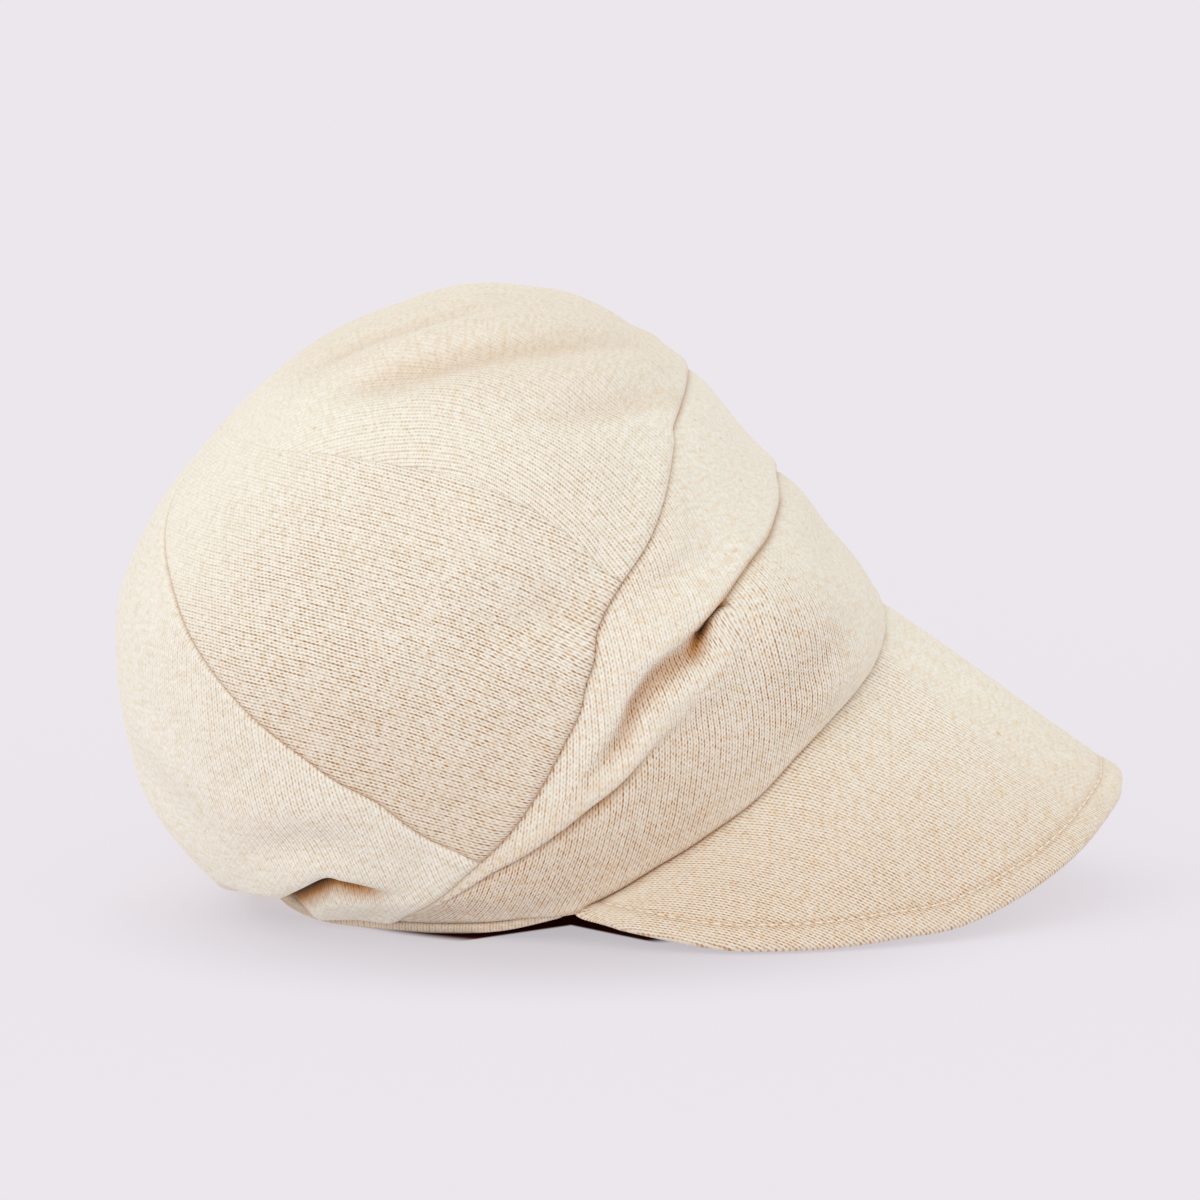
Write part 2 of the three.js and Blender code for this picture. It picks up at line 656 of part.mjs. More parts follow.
// The hem: a flat-bottomed roll that runs round the back from one corner of the peak to the other.
function hemRoll() {
  const half = HEM_THICKNESS / 2;
  const section = [
    [HEM_CHAMFER - half, 0],
    [half - HEM_CHAMFER, 0],
    [half, HEM_CHAMFER],
    [half, HEM_HEIGHT - HEM_CHAMFER],
    [half - HEM_CHAMFER, HEM_HEIGHT],
    [HEM_CHAMFER - half, HEM_HEIGHT],
    [-half, HEM_HEIGHT - HEM_CHAMFER],
    [-half, HEM_CHAMFER],
  ];
  const stations = HEM_STATIONS;
  const rings = [];
  for (let i = -stations; i <= stations; i++) {
    const share = (Math.abs(i) / stations) * HEM_END;
    const ahead = hemWalk(share + 0.004).sub(hemWalk(share - 0.004));
    const outward = share === 0 ? new THREE.Vector3(-1, 0, 0) : new THREE.Vector3(ahead.y, -ahead.x, 0);
    outward.normalize();
    const ring = section.map(([across, up]) => {
      const point = hemWalk(share).addScaledVector(outward, across - half);
      point.z = Math.max(0, point.z) + up;
      return i < 0 ? mirrored(point) : point;
    });
    rings.push(ring);
  }
  return tubeGeometry(rings);
}

// A closed tube through rings of points, with flat ends.
function tubeGeometry(rings) {
  const positions = [];
  const sides = rings[0].length;
  const addTriangle = (a, b, c) => positions.push(...a.toArray(), ...b.toArray(), ...c.toArray());
  for (let i = 0; i < rings.length - 1; i++) {
    for (let k = 0; k < sides; k++) {
      const next = (k + 1) % sides;
      addTriangle(rings[i][k], rings[i + 1][k], rings[i + 1][next]);
      addTriangle(rings[i][k], rings[i + 1][next], rings[i][next]);
    }
  }
  for (const [ring, turn] of [[rings[0], 1], [rings.at(-1), -1]]) {
    for (let k = 1; k < sides - 1; k++) {
      if (turn > 0) addTriangle(ring[0], ring[k], ring[k + 1]);
      else addTriangle(ring[0], ring[k + 1], ring[k]);
    }
  }
  return facingOut(closedMesh(positions));
}

function addPiece(group, name, geometry, material) {
  const mesh = new THREE.Mesh(geometry, material);
  mesh.name = name;
  group.add(mesh);
}

const cap = new THREE.Group();
addPiece(cap, "crown_top", topPanel(), CREAM);
addPiece(cap, "crown_side_right", sidePanel(-1), CREAM);
addPiece(cap, "crown_side_left", sidePanel(1), CREAM);
addPiece(cap, "crown_back", backPanel(), CREAM);
addPiece(cap, "band", bandPanel(), CREAM);
addPiece(cap, "peak", peakPanel(), CREAM_PEAK);
addPiece(cap, "hem", hemRoll(), CREAM_HEM);

export default cap;
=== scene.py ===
import math

import bpy
import numpy as np
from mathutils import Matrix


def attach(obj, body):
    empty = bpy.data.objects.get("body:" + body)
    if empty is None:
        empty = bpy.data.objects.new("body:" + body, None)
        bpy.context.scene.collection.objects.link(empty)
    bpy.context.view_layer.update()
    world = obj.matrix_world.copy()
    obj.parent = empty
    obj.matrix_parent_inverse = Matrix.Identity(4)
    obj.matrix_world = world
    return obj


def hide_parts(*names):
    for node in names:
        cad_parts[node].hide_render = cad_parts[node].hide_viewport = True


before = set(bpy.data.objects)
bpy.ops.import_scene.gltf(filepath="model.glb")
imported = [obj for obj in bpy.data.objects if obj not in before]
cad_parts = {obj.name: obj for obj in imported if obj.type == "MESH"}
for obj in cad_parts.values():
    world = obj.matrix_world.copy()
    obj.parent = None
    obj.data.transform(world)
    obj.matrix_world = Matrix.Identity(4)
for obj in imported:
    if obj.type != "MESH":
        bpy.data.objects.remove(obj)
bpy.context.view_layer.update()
print("frame loaded:", len(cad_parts), "nodes")

# Every size below is in millimetres, with +X along the peak, +Y to the wearer's left and +Z up.
metre = 0.001

# The rounded form under the cloth: its outline from the side is a closed smooth curve through radii
# at even angles about the centre, and its width is a superellipse of that outline.
form = {
    "centreX": -45.0,
    "centreZ": 82.0,
    "halfWidth": 98.0,
    "squareness": 2.3,
    "chartRadius": 100.0,
    "firstAngle": -165.0,
    "angleStep": 15.0,
    "probe": 0.5,               # half the step over which a normal is measured
    "radii": [
        102.4, 104.4, 105.6, 102.0, 104.5, 109.5, 119.0, 120.8, 118.8, 117.0, 116.3, 121.6,
        105.0, 96.6, 95.6, 95.4, 94.8, 93.4, 90.2, 88.0, 88.0, 90.4, 95.0, 100.6,
    ],
}

# Seams seen from the side, in x and z. "middle" ends lie on the cap's middle line.
seams = {
    "tip": (-115, 137.5),
    "top": [(-101, 137), (-76, 137), (-49, 133.5), (-20, 121), (0, 103.6)],
    "side": [(-128.5, 114), (-124, 91), (-106, 68), (-81, 48.5), (-57, 33), (-39.5, 24.5)],
    "frontOverTop": [(0, 103.6), (7.4, 114), (12.0, 125), (14.7, 138.5), (15.4, 144.5), (18.6, 152)],
    "frontBesidePanel": [
        (0, 103.6), (-4.4, 96.5), (-8, 82), (-11.2, 70), (-16.2, 59), (-26, 41), (-39.5, 24.5),
    ],
    "frontTail": [(-39.5, 24.5), (-50.6, 13.5), (-66, 2)],
    "peak": [(-13.2, 8.8), (5.4, 18.0), (32, 33.7), (52, 51.3), (69, 67.2), (74.8, 76.5), (77, 84.5)],
    "calmReach": 14.0,          # within this of a seam folds die away
}

# The rim: where the form is cut off in x and z, and the x, y, z that its edge is drawn to there.
rim = {
    "behind": [
        (-103.5, -3.2, -100.5, 0, 0), (-100, -3.2, -97.2, 20.5, 0), (-94, -2.6, -92, 36, 0),
        (-86, -1.5, -85.5, 48, 0), (-78, 0, -77.7, 54.5, 0), (-66, 2, -66, 61, 0),
    ],
    "beside": [
        (-66, 2, -66, 61, 0), (-51, 3, -51, 68, 0.4), (-33, 4.8, -33, 75.5, 2.6),
        (-13.2, 8.8, -13.2, 79, 7.8),
    ],
    "pullReach": 12.0,          # how far up from the rim the cloth is drawn to the hem's line
    "liftReach": 5.0,           # and how far it is lifted to the hem's top
    "calmReach": 6.0,
    "floorGap": 0.4,
    "hemHeight": 3.0,
    "hemFade": 0.86,            # the share of the rim from which the hem thins away towards the peak
    "hemOverlap": 0.3,
}

# The cloth panels' walls: how low their faces may come, how a fold's depth darkens it with painted
# shade, and how far the dashes show, partly nap wear and partly painted light, where the cloth faces
# up and where it faces sideways, and how much more they show in painted shade.
wall = {
    "thickness": 2.0,
    "lowest": 0.25,
    "innerGap": 0.35,
    "innerRows": 3,
    "darkDepth": 6.5,
    "softDepth": 2.4,
    "softDark": 0.1,
    "leastDashes": 0.15,
    "sidewaysFrom": 0.35,
    "sidewaysFull": 0.92,
    "shadeDashes": 0.5,
}


# The cubic from start to end whose slopes there are half the way from before to end and from start
# to after.
def cubicThrough(before, start, end, after, share):
    bend = 2 * before - 5 * start + 4 * end - after + share * (3 * (start - end) + after - before)
    return start + 0.5 * share * (end - before + share * bend)


# The cubic from start to end with the slopes given.
def cubicBetween(start, startSlope, end, endSlope, share):
    square = share * share
    cube = square * share
    return (
        (2 * cube - 3 * square + 1) * start
        + (cube - 2 * square + share) * startSlope
        + (3 * square - 2 * cube) * end
        + (cube - square) * endSlope
    )


# A smooth closed curve through the radii: a cubic between the two nearest, bent by the next ones.
def outlineRadius(angle):
    radii = np.array(form["radii"])
    place = (np.degrees(angle) - form["firstAngle"]) / form["angleStep"]
    row = np.floor(place).astype(int)
    near = [radii[(row + shift) % len(radii)] for shift in (-1, 0, 1, 2)]
    return cubicThrough(*near, place - row)


# A chart point lies lean * chartRadius from the chart's middle, which is the side of the form, in
# the direction of its angle seen from the side. At a lean of 90 degrees it is on the middle line.
def formPoint(chart):
    lean = np.linalg.norm(chart, axis=-1) / form["chartRadius"]
    angle = np.arctan2(chart[..., 1], chart[..., 0])
    outward = np.sin(lean)
    sideways = np.cos(lean)
    power = form["squareness"]
    size = (np.abs(outward) ** power + np.abs(sideways) ** power) ** (-1 / power)
    radius = outlineRadius(angle) * size * outward
    return np.stack([
        form["centreX"] + radius * np.cos(angle),
        -form["halfWidth"] * size * sideways,
        form["centreZ"] + radius * np.sin(angle),
    ], axis=-1)


# The outward normal: the cross product of two short steps over the form.
def formNormal(chart):
    stepX = np.array([form["probe"], 0.0])
    stepY = np.array([0.0, form["probe"]])
    alongX = formPoint(chart + stepX) - formPoint(chart - stepX)
    alongY = formPoint(chart + stepY) - formPoint(chart - stepY)
    return unit(np.cross(alongX, alongY))


# Each vector divided by its length.
def unit(vectors):
    return vectors / np.maximum(np.linalg.norm(vectors, axis=-1, keepdims=True), 1e-9)


# 0 up to low, 1 from high on, and 3 s squared less 2 s cubed of the share s between them.
def smoothStep(value, low, high):
    share = np.clip((value - low) / (high - low), 0, 1)
    return share * share * (3 - 2 * share)


# 1 at no distance, falling smoothly to 0 at the reach.
def fallOff(distance, reach):
    return 1 - smoothStep(distance, 0, reach)


# An amount that comes in, or dies away, by a smooth step between two values.
def rising(value, amount, low, high):
    return amount * smoothStep(value, low, high)


def dying(value, amount, low, high):
    return amount * (1 - smoothStep(value, low, high))


# A bell: the whole amount at no distance, and about a third of it at the reach.
def bell(distance, amount, reach):
    return amount * np.exp(-(distance / reach) ** 2)


# The chart point of a place seen from the side; a place on the middle line is put on its circle.
def chartOf(x, z, middle=False):
    fromX = x - form["centreX"]
    fromZ = z - form["centreZ"]
    angle = math.atan2(fromZ, fromX)
    outward = 1.0 if middle else min(1.0, math.hypot(fromX, fromZ) / float(outlineRadius(np.array(angle))))
    power = form["squareness"]
    sideways = (1 - outward ** power) ** (1 / power)
    lean = math.atan2(outward, sideways) * form["chartRadius"]
    return np.array([lean * math.cos(angle), lean * math.sin(angle)])


# A chart point's twin on the far half: the same angle, and as far beyond the middle line's circle.
def twinChart(points):
    length = np.linalg.norm(points, axis=-1, keepdims=True)
    return points * (math.pi * form["chartRadius"] / length - 1)


# A point's mirror image over the middle.
def twinPoint(points):
    return points * np.array([1, -1, 1])


# A smooth curve through points: a uniform cubic, with the twins of the first or last points put on
# beyond an end that crosses the middle line, so that it crosses squarely.
def smoothCurve(points, twin=None, roundStart=False, roundEnd=False, samples=240):
    points = np.array(points, float)
    before = twin(points[1:3][::-1]) if roundStart else 2 * points[:1] - points[1:2]
    after = twin(points[-3:-1][::-1]) if roundEnd else 2 * points[-1:] - points[-2:-1]
    knots = np.concatenate([before, points, after])
    first = len(before)
    place = first + np.linspace(0, len(points) - 1, samples + 1)
    row = np.minimum(np.floor(place).astype(int), first + len(points) - 2)
    near = [knots[np.clip(row + shift, 0, len(knots) - 1)] for shift in (-1, 0, 1, 2)]
    return cubicThrough(*near, (place - row)[:, None])


# Points at given shares of a line's length.
def walk(line, shares):
    steps = np.linalg.norm(np.diff(line, axis=0), axis=1)
    reached = np.concatenate([[0], np.cumsum(steps)])
    wanted = np.clip(shares, 0, 1) * reached[-1]
    return np.stack([np.interp(wanted, reached, line[:, k]) for k in range(line.shape[1])], axis=-1)


# The distance from each point to the nearest place on a line, and that place's share of its rows.
def nearestOn(line, points):
    best = np.full(points.shape[:-1], np.inf)
    share = np.zeros(points.shape[:-1])
    for k in range(len(line) - 1):
        along = line[k + 1] - line[k]
        place = np.clip(((points - line[k]) @ along) / (along @ along), 0, 1)
        away = np.linalg.norm(points - line[k] - place[..., None] * along, axis=-1)
        closer = away < best
        best = np.where(closer, away, best)
        share = np.where(closer, (k + place) / (len(line) - 1), share)
    return best, share


# The smooth curve in the chart through places seen from the side.
def chartLine(rows, middleStart=False, middleEnd=False):
    last = len(rows) - 1
    points = [
        chartOf(x, z, (middleStart and k == 0) or (middleEnd and k == last))
        for k, (x, z) in enumerate(rows)
    ]
    return smoothCurve(points, twinChart, middleStart, middleEnd)


topSeam = chartLine([seams["tip"]] + seams["top"], middleStart=True)
sideSeam = chartLine([seams["tip"]] + seams["side"])
sideSeam[0] = topSeam[0]
frontOverTop = chartLine(seams["frontOverTop"], middleEnd=True)
frontBesidePanel = chartLine(seams["frontBesidePanel"])
frontTail = chartLine(seams["frontTail"])
peakSeam = chartLine(seams["peak"], middleEnd=True)
rimBehind = chartLine([row[:2] for row in rim["behind"]], middleStart=True)
rimBeside = chartLine([row[:2] for row in rim["beside"]])


# The smooth curve through the x, y and z that the rim is drawn to, on the right side.
def hemLineOf(rows, roundStart):
    return smoothCurve([(x, -y, z) for _, _, x, y, z in rows], twinPoint, roundStart)


rimEdge = formPoint(np.concatenate([rimBehind, rimBeside[1:]])[::3])
hemLine = np.concatenate([hemLineOf(rim["behind"], True), hemLineOf(rim["beside"], False)[1:]])[::3]
rimPull = hemLine - rimEdge
hemHeight = rim["hemHeight"] * (1 - smoothStep(np.linspace(0, 1, len(hemLine)), rim["hemFade"], 1.0))


# The cloth without its folds: the form, drawn near the rim to the hem's line and lifted to the hem's
# top, and held just over the floor; with it its normals and its distances from the rim.
def clothBase(chart):
    base = formPoint(chart)
    normal = formNormal(chart)
    rimDistance, rimShare = nearestOn(rimEdge, base)
    place = rimShare * (len(rimPull) - 1)
    rows = np.arange(len(rimPull))
    pull = np.stack([np.interp(place, rows, rimPull[:, k]) for k in range(2)], axis=-1)
    hemTop = np.interp(place, rows, hemLine[:, 2] + hemHeight) + rim["hemOverlap"]
    base[..., :2] += pull * fallOff(rimDistance, rim["pullReach"])[..., None]
    base[..., 2] = np.maximum(base[..., 2], rim["floorGap"])
    base[..., 2] += (hemTop - base[..., 2]) * fallOff(rimDistance, rim["liftReach"])
    return base, normal, rimDistance


# Broad soft valleys in the cloth, seen from the side: how deep and half how wide the valley is, how
# far the cloth swells above and below it, and the shares of its length over which its ends die away.
softFolds = {
    "leafKink": dict(depth=1.7, width=8, above=0.9, below=0.7, fadeIn=0.05, fadeOut=0.6,
                     path=[(-3.9, 98.2), (-17, 97.6), (-33, 94), (-53, 90.8)]),
    "lowTopFold": dict(depth=1.8, width=7, above=1.4, below=0.4, fadeIn=0.1, fadeOut=0.5,
                       path=[(18, 148.6), (5.4, 150), (-17, 148), (-40, 143)]),
    "middleTopFold": dict(depth=2.4, width=8, above=1.6, below=0.9, fadeIn=0.42, fadeOut=0.3,
                          path=[(11.4, 159), (-6, 165), (-34, 165), (-62, 158), (-90, 148)]),
    "highTopFold": dict(depth=1.6, width=7, above=0.6, below=1.0, fadeIn=0.45, fadeOut=0.3,
                        path=[(-25, 174), (-50, 171.5), (-75, 163), (-95, 151)]),
    "bandUpperValley": dict(depth=1.5, width=5, above=0.8, below=0.8, fadeIn=0.1, fadeOut=0.6,
                            path=[(4.6, 100.2), (13.7, 104.6), (22, 107.3), (32, 112)]),
    "dipAbovePeak": dict(depth=1.9, width=8, above=0.9, below=1.5, fadeIn=0.2, fadeOut=0.5,
                         path=[(70, 91), (63.4, 81.8), (51.8, 72.4), (37.6, 59.5)]),
    "backFacet": dict(depth=1.3, width=9, above=0.8, below=0.8, fadeIn=0.3, fadeOut=0.5,
                      path=[(-142, 52), (-132, 40), (-121, 27), (-108, 19)]),
    "pouchDimple": dict(depth=1.6, width=8, above=0.8, below=0.6, fadeIn=0.4, fadeOut=0.4,
                        path=[(-112, 22), (-98, 24), (-84, 27), (-68, 24)]),
}


swellingPlace = 1.7             # how many widths from the valley its swellings lie


# The push along the normal: two bells for the swellings less one for the valley, by the distance
# to the fold's line, signed so that it is positive above the line.
def softRelief(chart):
    relief = np.zeros(chart.shape[:-1])
    for fold in softFolds.values():
        line = chartLine(fold["path"])[::10]        # every tenth place is near enough
        distance, share = nearestOn(line, chart)
        direction = line[-1] - line[0]
        ahead = line[np.clip((share * (len(line) - 1)).astype(int), 0, len(line) - 2)]
        upward = 1 if direction[0] > 0 else -1
        side = np.sign(direction[0] * (chart - ahead)[..., 1] - direction[1] * (chart - ahead)[..., 0])
        signed = distance * side * upward
        roll = swellingPlace * fold["width"]
        shape = bell(signed - roll, fold["above"], fold["width"])
        shape += bell(signed + roll, fold["below"], fold["width"])
        shape -= bell(signed, fold["depth"], fold["width"])
        strength = smoothStep(share, 0, fold["fadeIn"]) * smoothStep(1 - share, 0, fold["fadeOut"])
        relief += shape * strength
    return relief


# Gentle unevenness of slack cloth: a sum of plain waves in random directions, with the longer ones
# higher, worked out from each point's place, so that it runs on over seams and the middle line.
waves = {"seed": 11, "count": 26, "shortest": 16.0, "longest": 64.0, "tilt": 1.3, "height": 0.42}


def clothWaves(points):
    random = np.random.default_rng(waves["seed"])
    directions = unit(random.normal(size=(waves["count"], 3)))
    shortest, longest = math.log(waves["shortest"]), math.log(waves["longest"])
    lengths = np.exp(random.uniform(shortest, longest, waves["count"]))
    phases = random.uniform(0, 2 * math.pi, waves["count"])
    heights = (lengths / waves["longest"]) ** waves["tilt"]
    total = np.zeros(points.shape[:-1])
    for direction, length, phase, height in zip(directions, lengths, phases, heights):
        total += height * np.sin(2 * math.pi * (points @ direction) / length + phase)
    return waves["height"] * total / math.sqrt(0.5 * float(np.sum(heights ** 2)))


# Sections across the places where cloth turns over: rows of (v, u, h). v is the cloth's own
# distance from the seam or fold, positive below it or beyond it, u where that cloth lies across the
# line, and h how far it stands out. Between rows both run smoothly.
sections = {
    "crownLip": [
        (-14, -14, 0), (-8, -7.7, 0.5), (-4.2, -3.3, 1.0), (-2.4, -1.1, 0.95), (-1.2, 0.25, 0.1),
        (-0.5, 0.45, -0.9), (0, -0.1, -1.6),
    ],
    "bandUpperEdge": [
        (0, -1.0, -1.7), (1, 0.2, -1.0), (2.2, 1.8, -0.4), (4, 3.9, -0.05), (8, 8, 0.15), (14, 14, 0),
    ],
    "sewnEdge": [
        (0, 0, -0.55), (0.3, 0.3, -0.4), (0.7, 0.7, -0.12), (1.3, 1.3, 0.05), (2.6, 2.6, 0.1), (6, 6, 0),
    ],
    "flatEdge": [(0, 0, -0.22), (0.3, 0.3, -0.14), (0.8, 0.8, 0), (2, 2, 0.05), (5, 5, 0)],
    "pleatClosed": [
        (-18, -18, 0), (-10, -10.2, 0.1), (-5, -5.4, 0.5), (-2.4, -2.3, 0.7), (-0.9, -0.5, 0.1),
        (0.3, -0.1, -0.8), (1.2, -0.2, -1.4), (2.2, 0.3, -1.3), (3.4, 1.4, -0.6), (5.6, 4.1, 0.2),
        (8.6, 7.8, 0.8), (14, 13.5, 0.8), (24, 24, 0),
    ],
    "pleatDeep": [
        (-16, -16, 0), (-10, -10.2, 0.7), (-5, -5.4, 1.5), (-2.4, -2.5, 1.7), (-0.9, -0.8, 1.1),
        (0.4, -0.6, -0.8), (1.8, -1.2, -3.2), (3.4, -1.3, -6.0), (5.0, -0.4, -7.4), (6.6, 0.7, -6.9),
        (8.2, 0.7, -3.8), (9.6, 1.3, -1.0), (11.4, 4.4, 0.6), (14.5, 11.2, 1.3), (22, 22, 0),
    ],
    "pleatOpen": [
        (-16, -16, 0), (-10, -10.1, 0.7), (-5, -5.2, 1.4), (-2.4, -2.6, 1.5), (-1.0, -1.1, 1.1),
        (0.2, -0.2, 0.1), (1.6, 0.8, -1.3), (3.2, 2.4, -2.6), (5.0, 4.4, -3.2), (7.0, 6.6, -2.2),
        (9.6, 9.3, 0.0), (12.6, 12.4, 1.4), (16.5, 16.4, 1.3), (24, 24, 0),
    ],
    "rollOver": [
        (-14, -14, 0), (-8, -7.8, 0.8), (-4, -3.4, 1.7), (-2, -0.9, 1.7), (-0.7, 0.6, 0.9),
        (0.3, 0.9, -0.6), (1.3, 0.7, -2.1), (2.4, 1.2, -2.6), (3.7, 2.7, -1.4), (6, 5.6, -0.3), (11, 11, 0),
    ],
    "pouchLip": [
        (-18, -18, 0), (-10, -10.8, 0.9), (-5, -6.0, 1.8), (-2.5, -3.0, 2.0), (-0.8, -0.8, 1.2),
        (0.6, -0.3, -0.6), (1.8, -1.0, -2.8), (3.0, -1.2, -4.8), (4.4, -0.2, -5.8), (6.0, 2.2, -4.6),
        (8.2, 5.6, -1.8), (11.5, 11, -0.2), (16, 16, 0),
    ],
    "bandLowerLip": [
        (-8, -8, 0), (-4, -3.9, 0.2), (-2, -1.9, 0.3), (-1, -0.85, 0.2), (-0.4, -0.25, -0.1), (0, 0, -0.5),
    ],
    "hemEdge": [
        (-6, -6, 0), (-2.4, -2.4, 0.15), (-1.0, -1.0, 0.1), (-0.4, -0.4, -0.15), (0, 0, -0.5),
    ],
}


# A section at distances v: its shift across the line, u - v, and its height, by cubics through rows.
def sectionAt(name, v):
    rows = np.array(sections[name], float)
    knots = rows[:, 0]
    values = np.stack([rows[:, 1] - rows[:, 0], rows[:, 2]], axis=-1)
    slopes = np.gradient(values, knots, axis=0)
    slopes[0] = slopes[-1] = 0
    row = np.clip(np.searchsorted(knots, v) - 1, 0, len(knots) - 2)
    width = (knots[row + 1] - knots[row])[..., None]
    share = np.clip((v - knots[row])[..., None] / width, 0, 1)
    start, startSlope = values[row], width * slopes[row]
    end, endSlope = values[row + 1], width * slopes[row + 1]
    found = cubicBetween(start, startSlope, end, endSlope, share)
    return found[..., 0], found[..., 1]


# Distances from a seam at which rows or columns lie, close together where the cloth turns over.
nearSeam = np.array([
    0, 0.25, 0.5, 0.8, 1.15, 1.6, 2.1, 2.7, 3.4, 4.2, 5.1, 6.1, 7.2, 8.4, 9.8, 11.4, 13.3, 15.5,
])
nearGroove = np.array([0, 0.3, 0.65, 1.1, 1.7, 2.6, 4.0])
nearMiddle = np.array([0, 1.0])


# Shares of a length from 0 to 1 with those distances kept at each end, and even steps between.
def spread(length, atStart, atEnd, step):
    count = max(2, round((length - atStart[-1] - atEnd[-1]) / step))
    between = np.linspace(atStart[-1], length - atEnd[-1], count + 1)
    return np.concatenate([atStart[:-1], between, (length - atEnd[::-1])[1:]]) / length


# A smooth patch between four edges: the two blends of opposite edges less the blend of corners.
def patchBetween(low, high, left, right, along, across):
    along = along[None, :, None]
    across = across[:, None, None]
    blend = low[None] * (1 - across) + high[None] * across
    blend = blend + left[:, None] * (1 - along) + right[:, None] * along
    lowCorners = low[0] * (1 - along) + low[-1] * along
    highCorners = high[0] * (1 - along) + high[-1] * along
    return blend - lowCorners * (1 - across) - highCorners * across


# Distance along the columns of a grid of points, from its first row, and along its rows likewise.
def arcDown(points):
    steps = np.linalg.norm(np.diff(points, axis=0), axis=-1)
    return np.concatenate([np.zeros((1, points.shape[1])), np.cumsum(steps, axis=0)])


def arcAcross(points):
    return arcDown(points.swapaxes(0, 1)).swapaxes(0, 1)


# Unit steps down the columns and along the rows, by differences of neighbours.
def directionDown(points):
    return unit(np.gradient(points, axis=0))


def directionAcross(points):
    return unit(np.gradient(points, axis=1))


# The inside of a wall follows the outside's deepest place within a few rows, smoothed.
def innerRelief(relief):
    reach = wall["innerRows"]
    lowest = relief
    for shift in range(1, reach + 1):
        up = np.concatenate([relief[shift:], np.repeat(relief[-1:], shift, axis=0)])
        down = np.concatenate([np.repeat(relief[:1], shift, axis=0), relief[:-shift]])
        lowest = np.minimum(lowest, np.minimum(up, down))
    above = np.repeat(lowest[:1], reach, axis=0)
    below = np.repeat(lowest[-1:], reach, axis=0)
    padded = np.concatenate([above, lowest, below])
    return sum(padded[k:k + len(relief)] for k in range(2 * reach + 1)) / (2 * reach + 1)


# How far the dashes show, partly nap wear and partly painted light that pales them where the cloth
# faces up or back: a smooth step of how far sideways the cloth faces, times the panel's share, and
# more where the painted shade is deep.
def napWearAndLight(normal, paintedShade, wearAndLight):
    sideways = smoothStep(np.abs(normal[..., 1]), wall["sidewaysFrom"], wall["sidewaysFull"])
    facingDashes = wall["leastDashes"] + (1 - wall["leastDashes"]) * sideways
    return np.clip(facingDashes * wearAndLight + wall["shadeDashes"] * paintedShade, 0, 1)


# Both faces of a panel on the right half and, for a panel over the middle, on the left half too.
# The cloth goes out along the normal by its folds and waves and is shifted along the two directions.
# The marks are the painted shade, from 0 on the open cloth to 1 at the bottom of a fold, with the
# panel's extra shade added, and how far the dashes show, partly nap wear and partly painted light:
# most at the sides, least over the top and back.
def clothFaces(panel):
    base = panel["base"]
    normal = panel["normal"]
    free = panel["free"]
    lowest = panel.get("lowest", np.full(base.shape[:-1], wall["lowest"]))
    halves = []
    for side in panel["sides"]:
        seen = base * np.array([1, side, 1])
        soft = (panel["soft"] + clothWaves(seen)) * free
        relief = soft + panel["sharp"]
        outer = base + normal * relief[..., None] + panel["shift"]
        under = innerRelief(np.minimum(panel["sharp"], 0)) + soft - wall["thickness"]
        inner = base + normal * under[..., None]
        outer[..., 2] = np.maximum(outer[..., 2], lowest)
        inner[..., 2] = np.maximum(inner[..., 2], lowest + wall["innerGap"])
        halves.append([outer * np.array([1, side, 1]), inner * np.array([1, side, 1])])
    # Painted shade: deeper in sharp folds and soft valleys, with the panel's extra shade added.
    paintedShade = np.clip(-panel["sharp"] * panel["gloom"] / wall["darkDepth"], 0, 1)
    paintedShade += wall["softDark"] * np.clip(-panel["soft"] / wall["softDepth"], 0, 1) + panel["warmth"]
    marks = np.stack([paintedShade, napWearAndLight(normal, paintedShade, panel["wearAndLight"])], axis=-1)
    uv = panel["uv"]
    if len(halves) == 1:
        return {"outer": halves[0][0], "inner": halves[0][1], "uv": uv, "marks": marks}
    faces = []
    for near, far in zip(halves[0], halves[1]):
        near[:, -1, 1] = 0
        faces.append(np.concatenate([near, far[:, -2::-1]], axis=1))
    farUv = uv[:, -2::-1] * np.array([-1, 1])
    farUv[..., 0] += 2 * uv[:, -1:, 0]
    return {
        "outer": faces[0], "inner": faces[1], "uv": np.concatenate([uv, farUv], axis=1),
        "marks": np.concatenate([marks, marks[:, -2::-1]], axis=1),
    }


# A closed wall: the outer grid, the inner grid turned round, and a strip along their shared rim.
def wallPiece(name, faces, material, node):
    rows, cols = faces["outer"].shape[:2]
    count = rows * cols
    index = np.arange(count).reshape(rows, cols)
    outerQuads = np.stack([index[:-1, :-1], index[1:, :-1], index[1:, 1:], index[:-1, 1:]], axis=-1)
    outerQuads = outerQuads.reshape(-1, 4)
    loop = np.concatenate([index[:, 0], index[-1, 1:], index[-2::-1, -1], index[0, -2::-1]])
    ahead = loop[1:]
    behind = loop[:-1]
    rimQuads = np.stack([ahead, behind, behind + count, ahead + count], axis=-1)
    quads = np.concatenate([outerQuads, outerQuads[:, ::-1] + count, rimQuads])
    points = np.concatenate([faces["outer"].reshape(-1, 3), faces["inner"].reshape(-1, 3)])
    maps = np.tile(faces["uv"].reshape(-1, 2), (2, 1))
    marks = np.tile(faces["marks"].reshape(-1, 2), (2, 1))
    return meshPiece(name, points, quads, maps, marks, material, node)


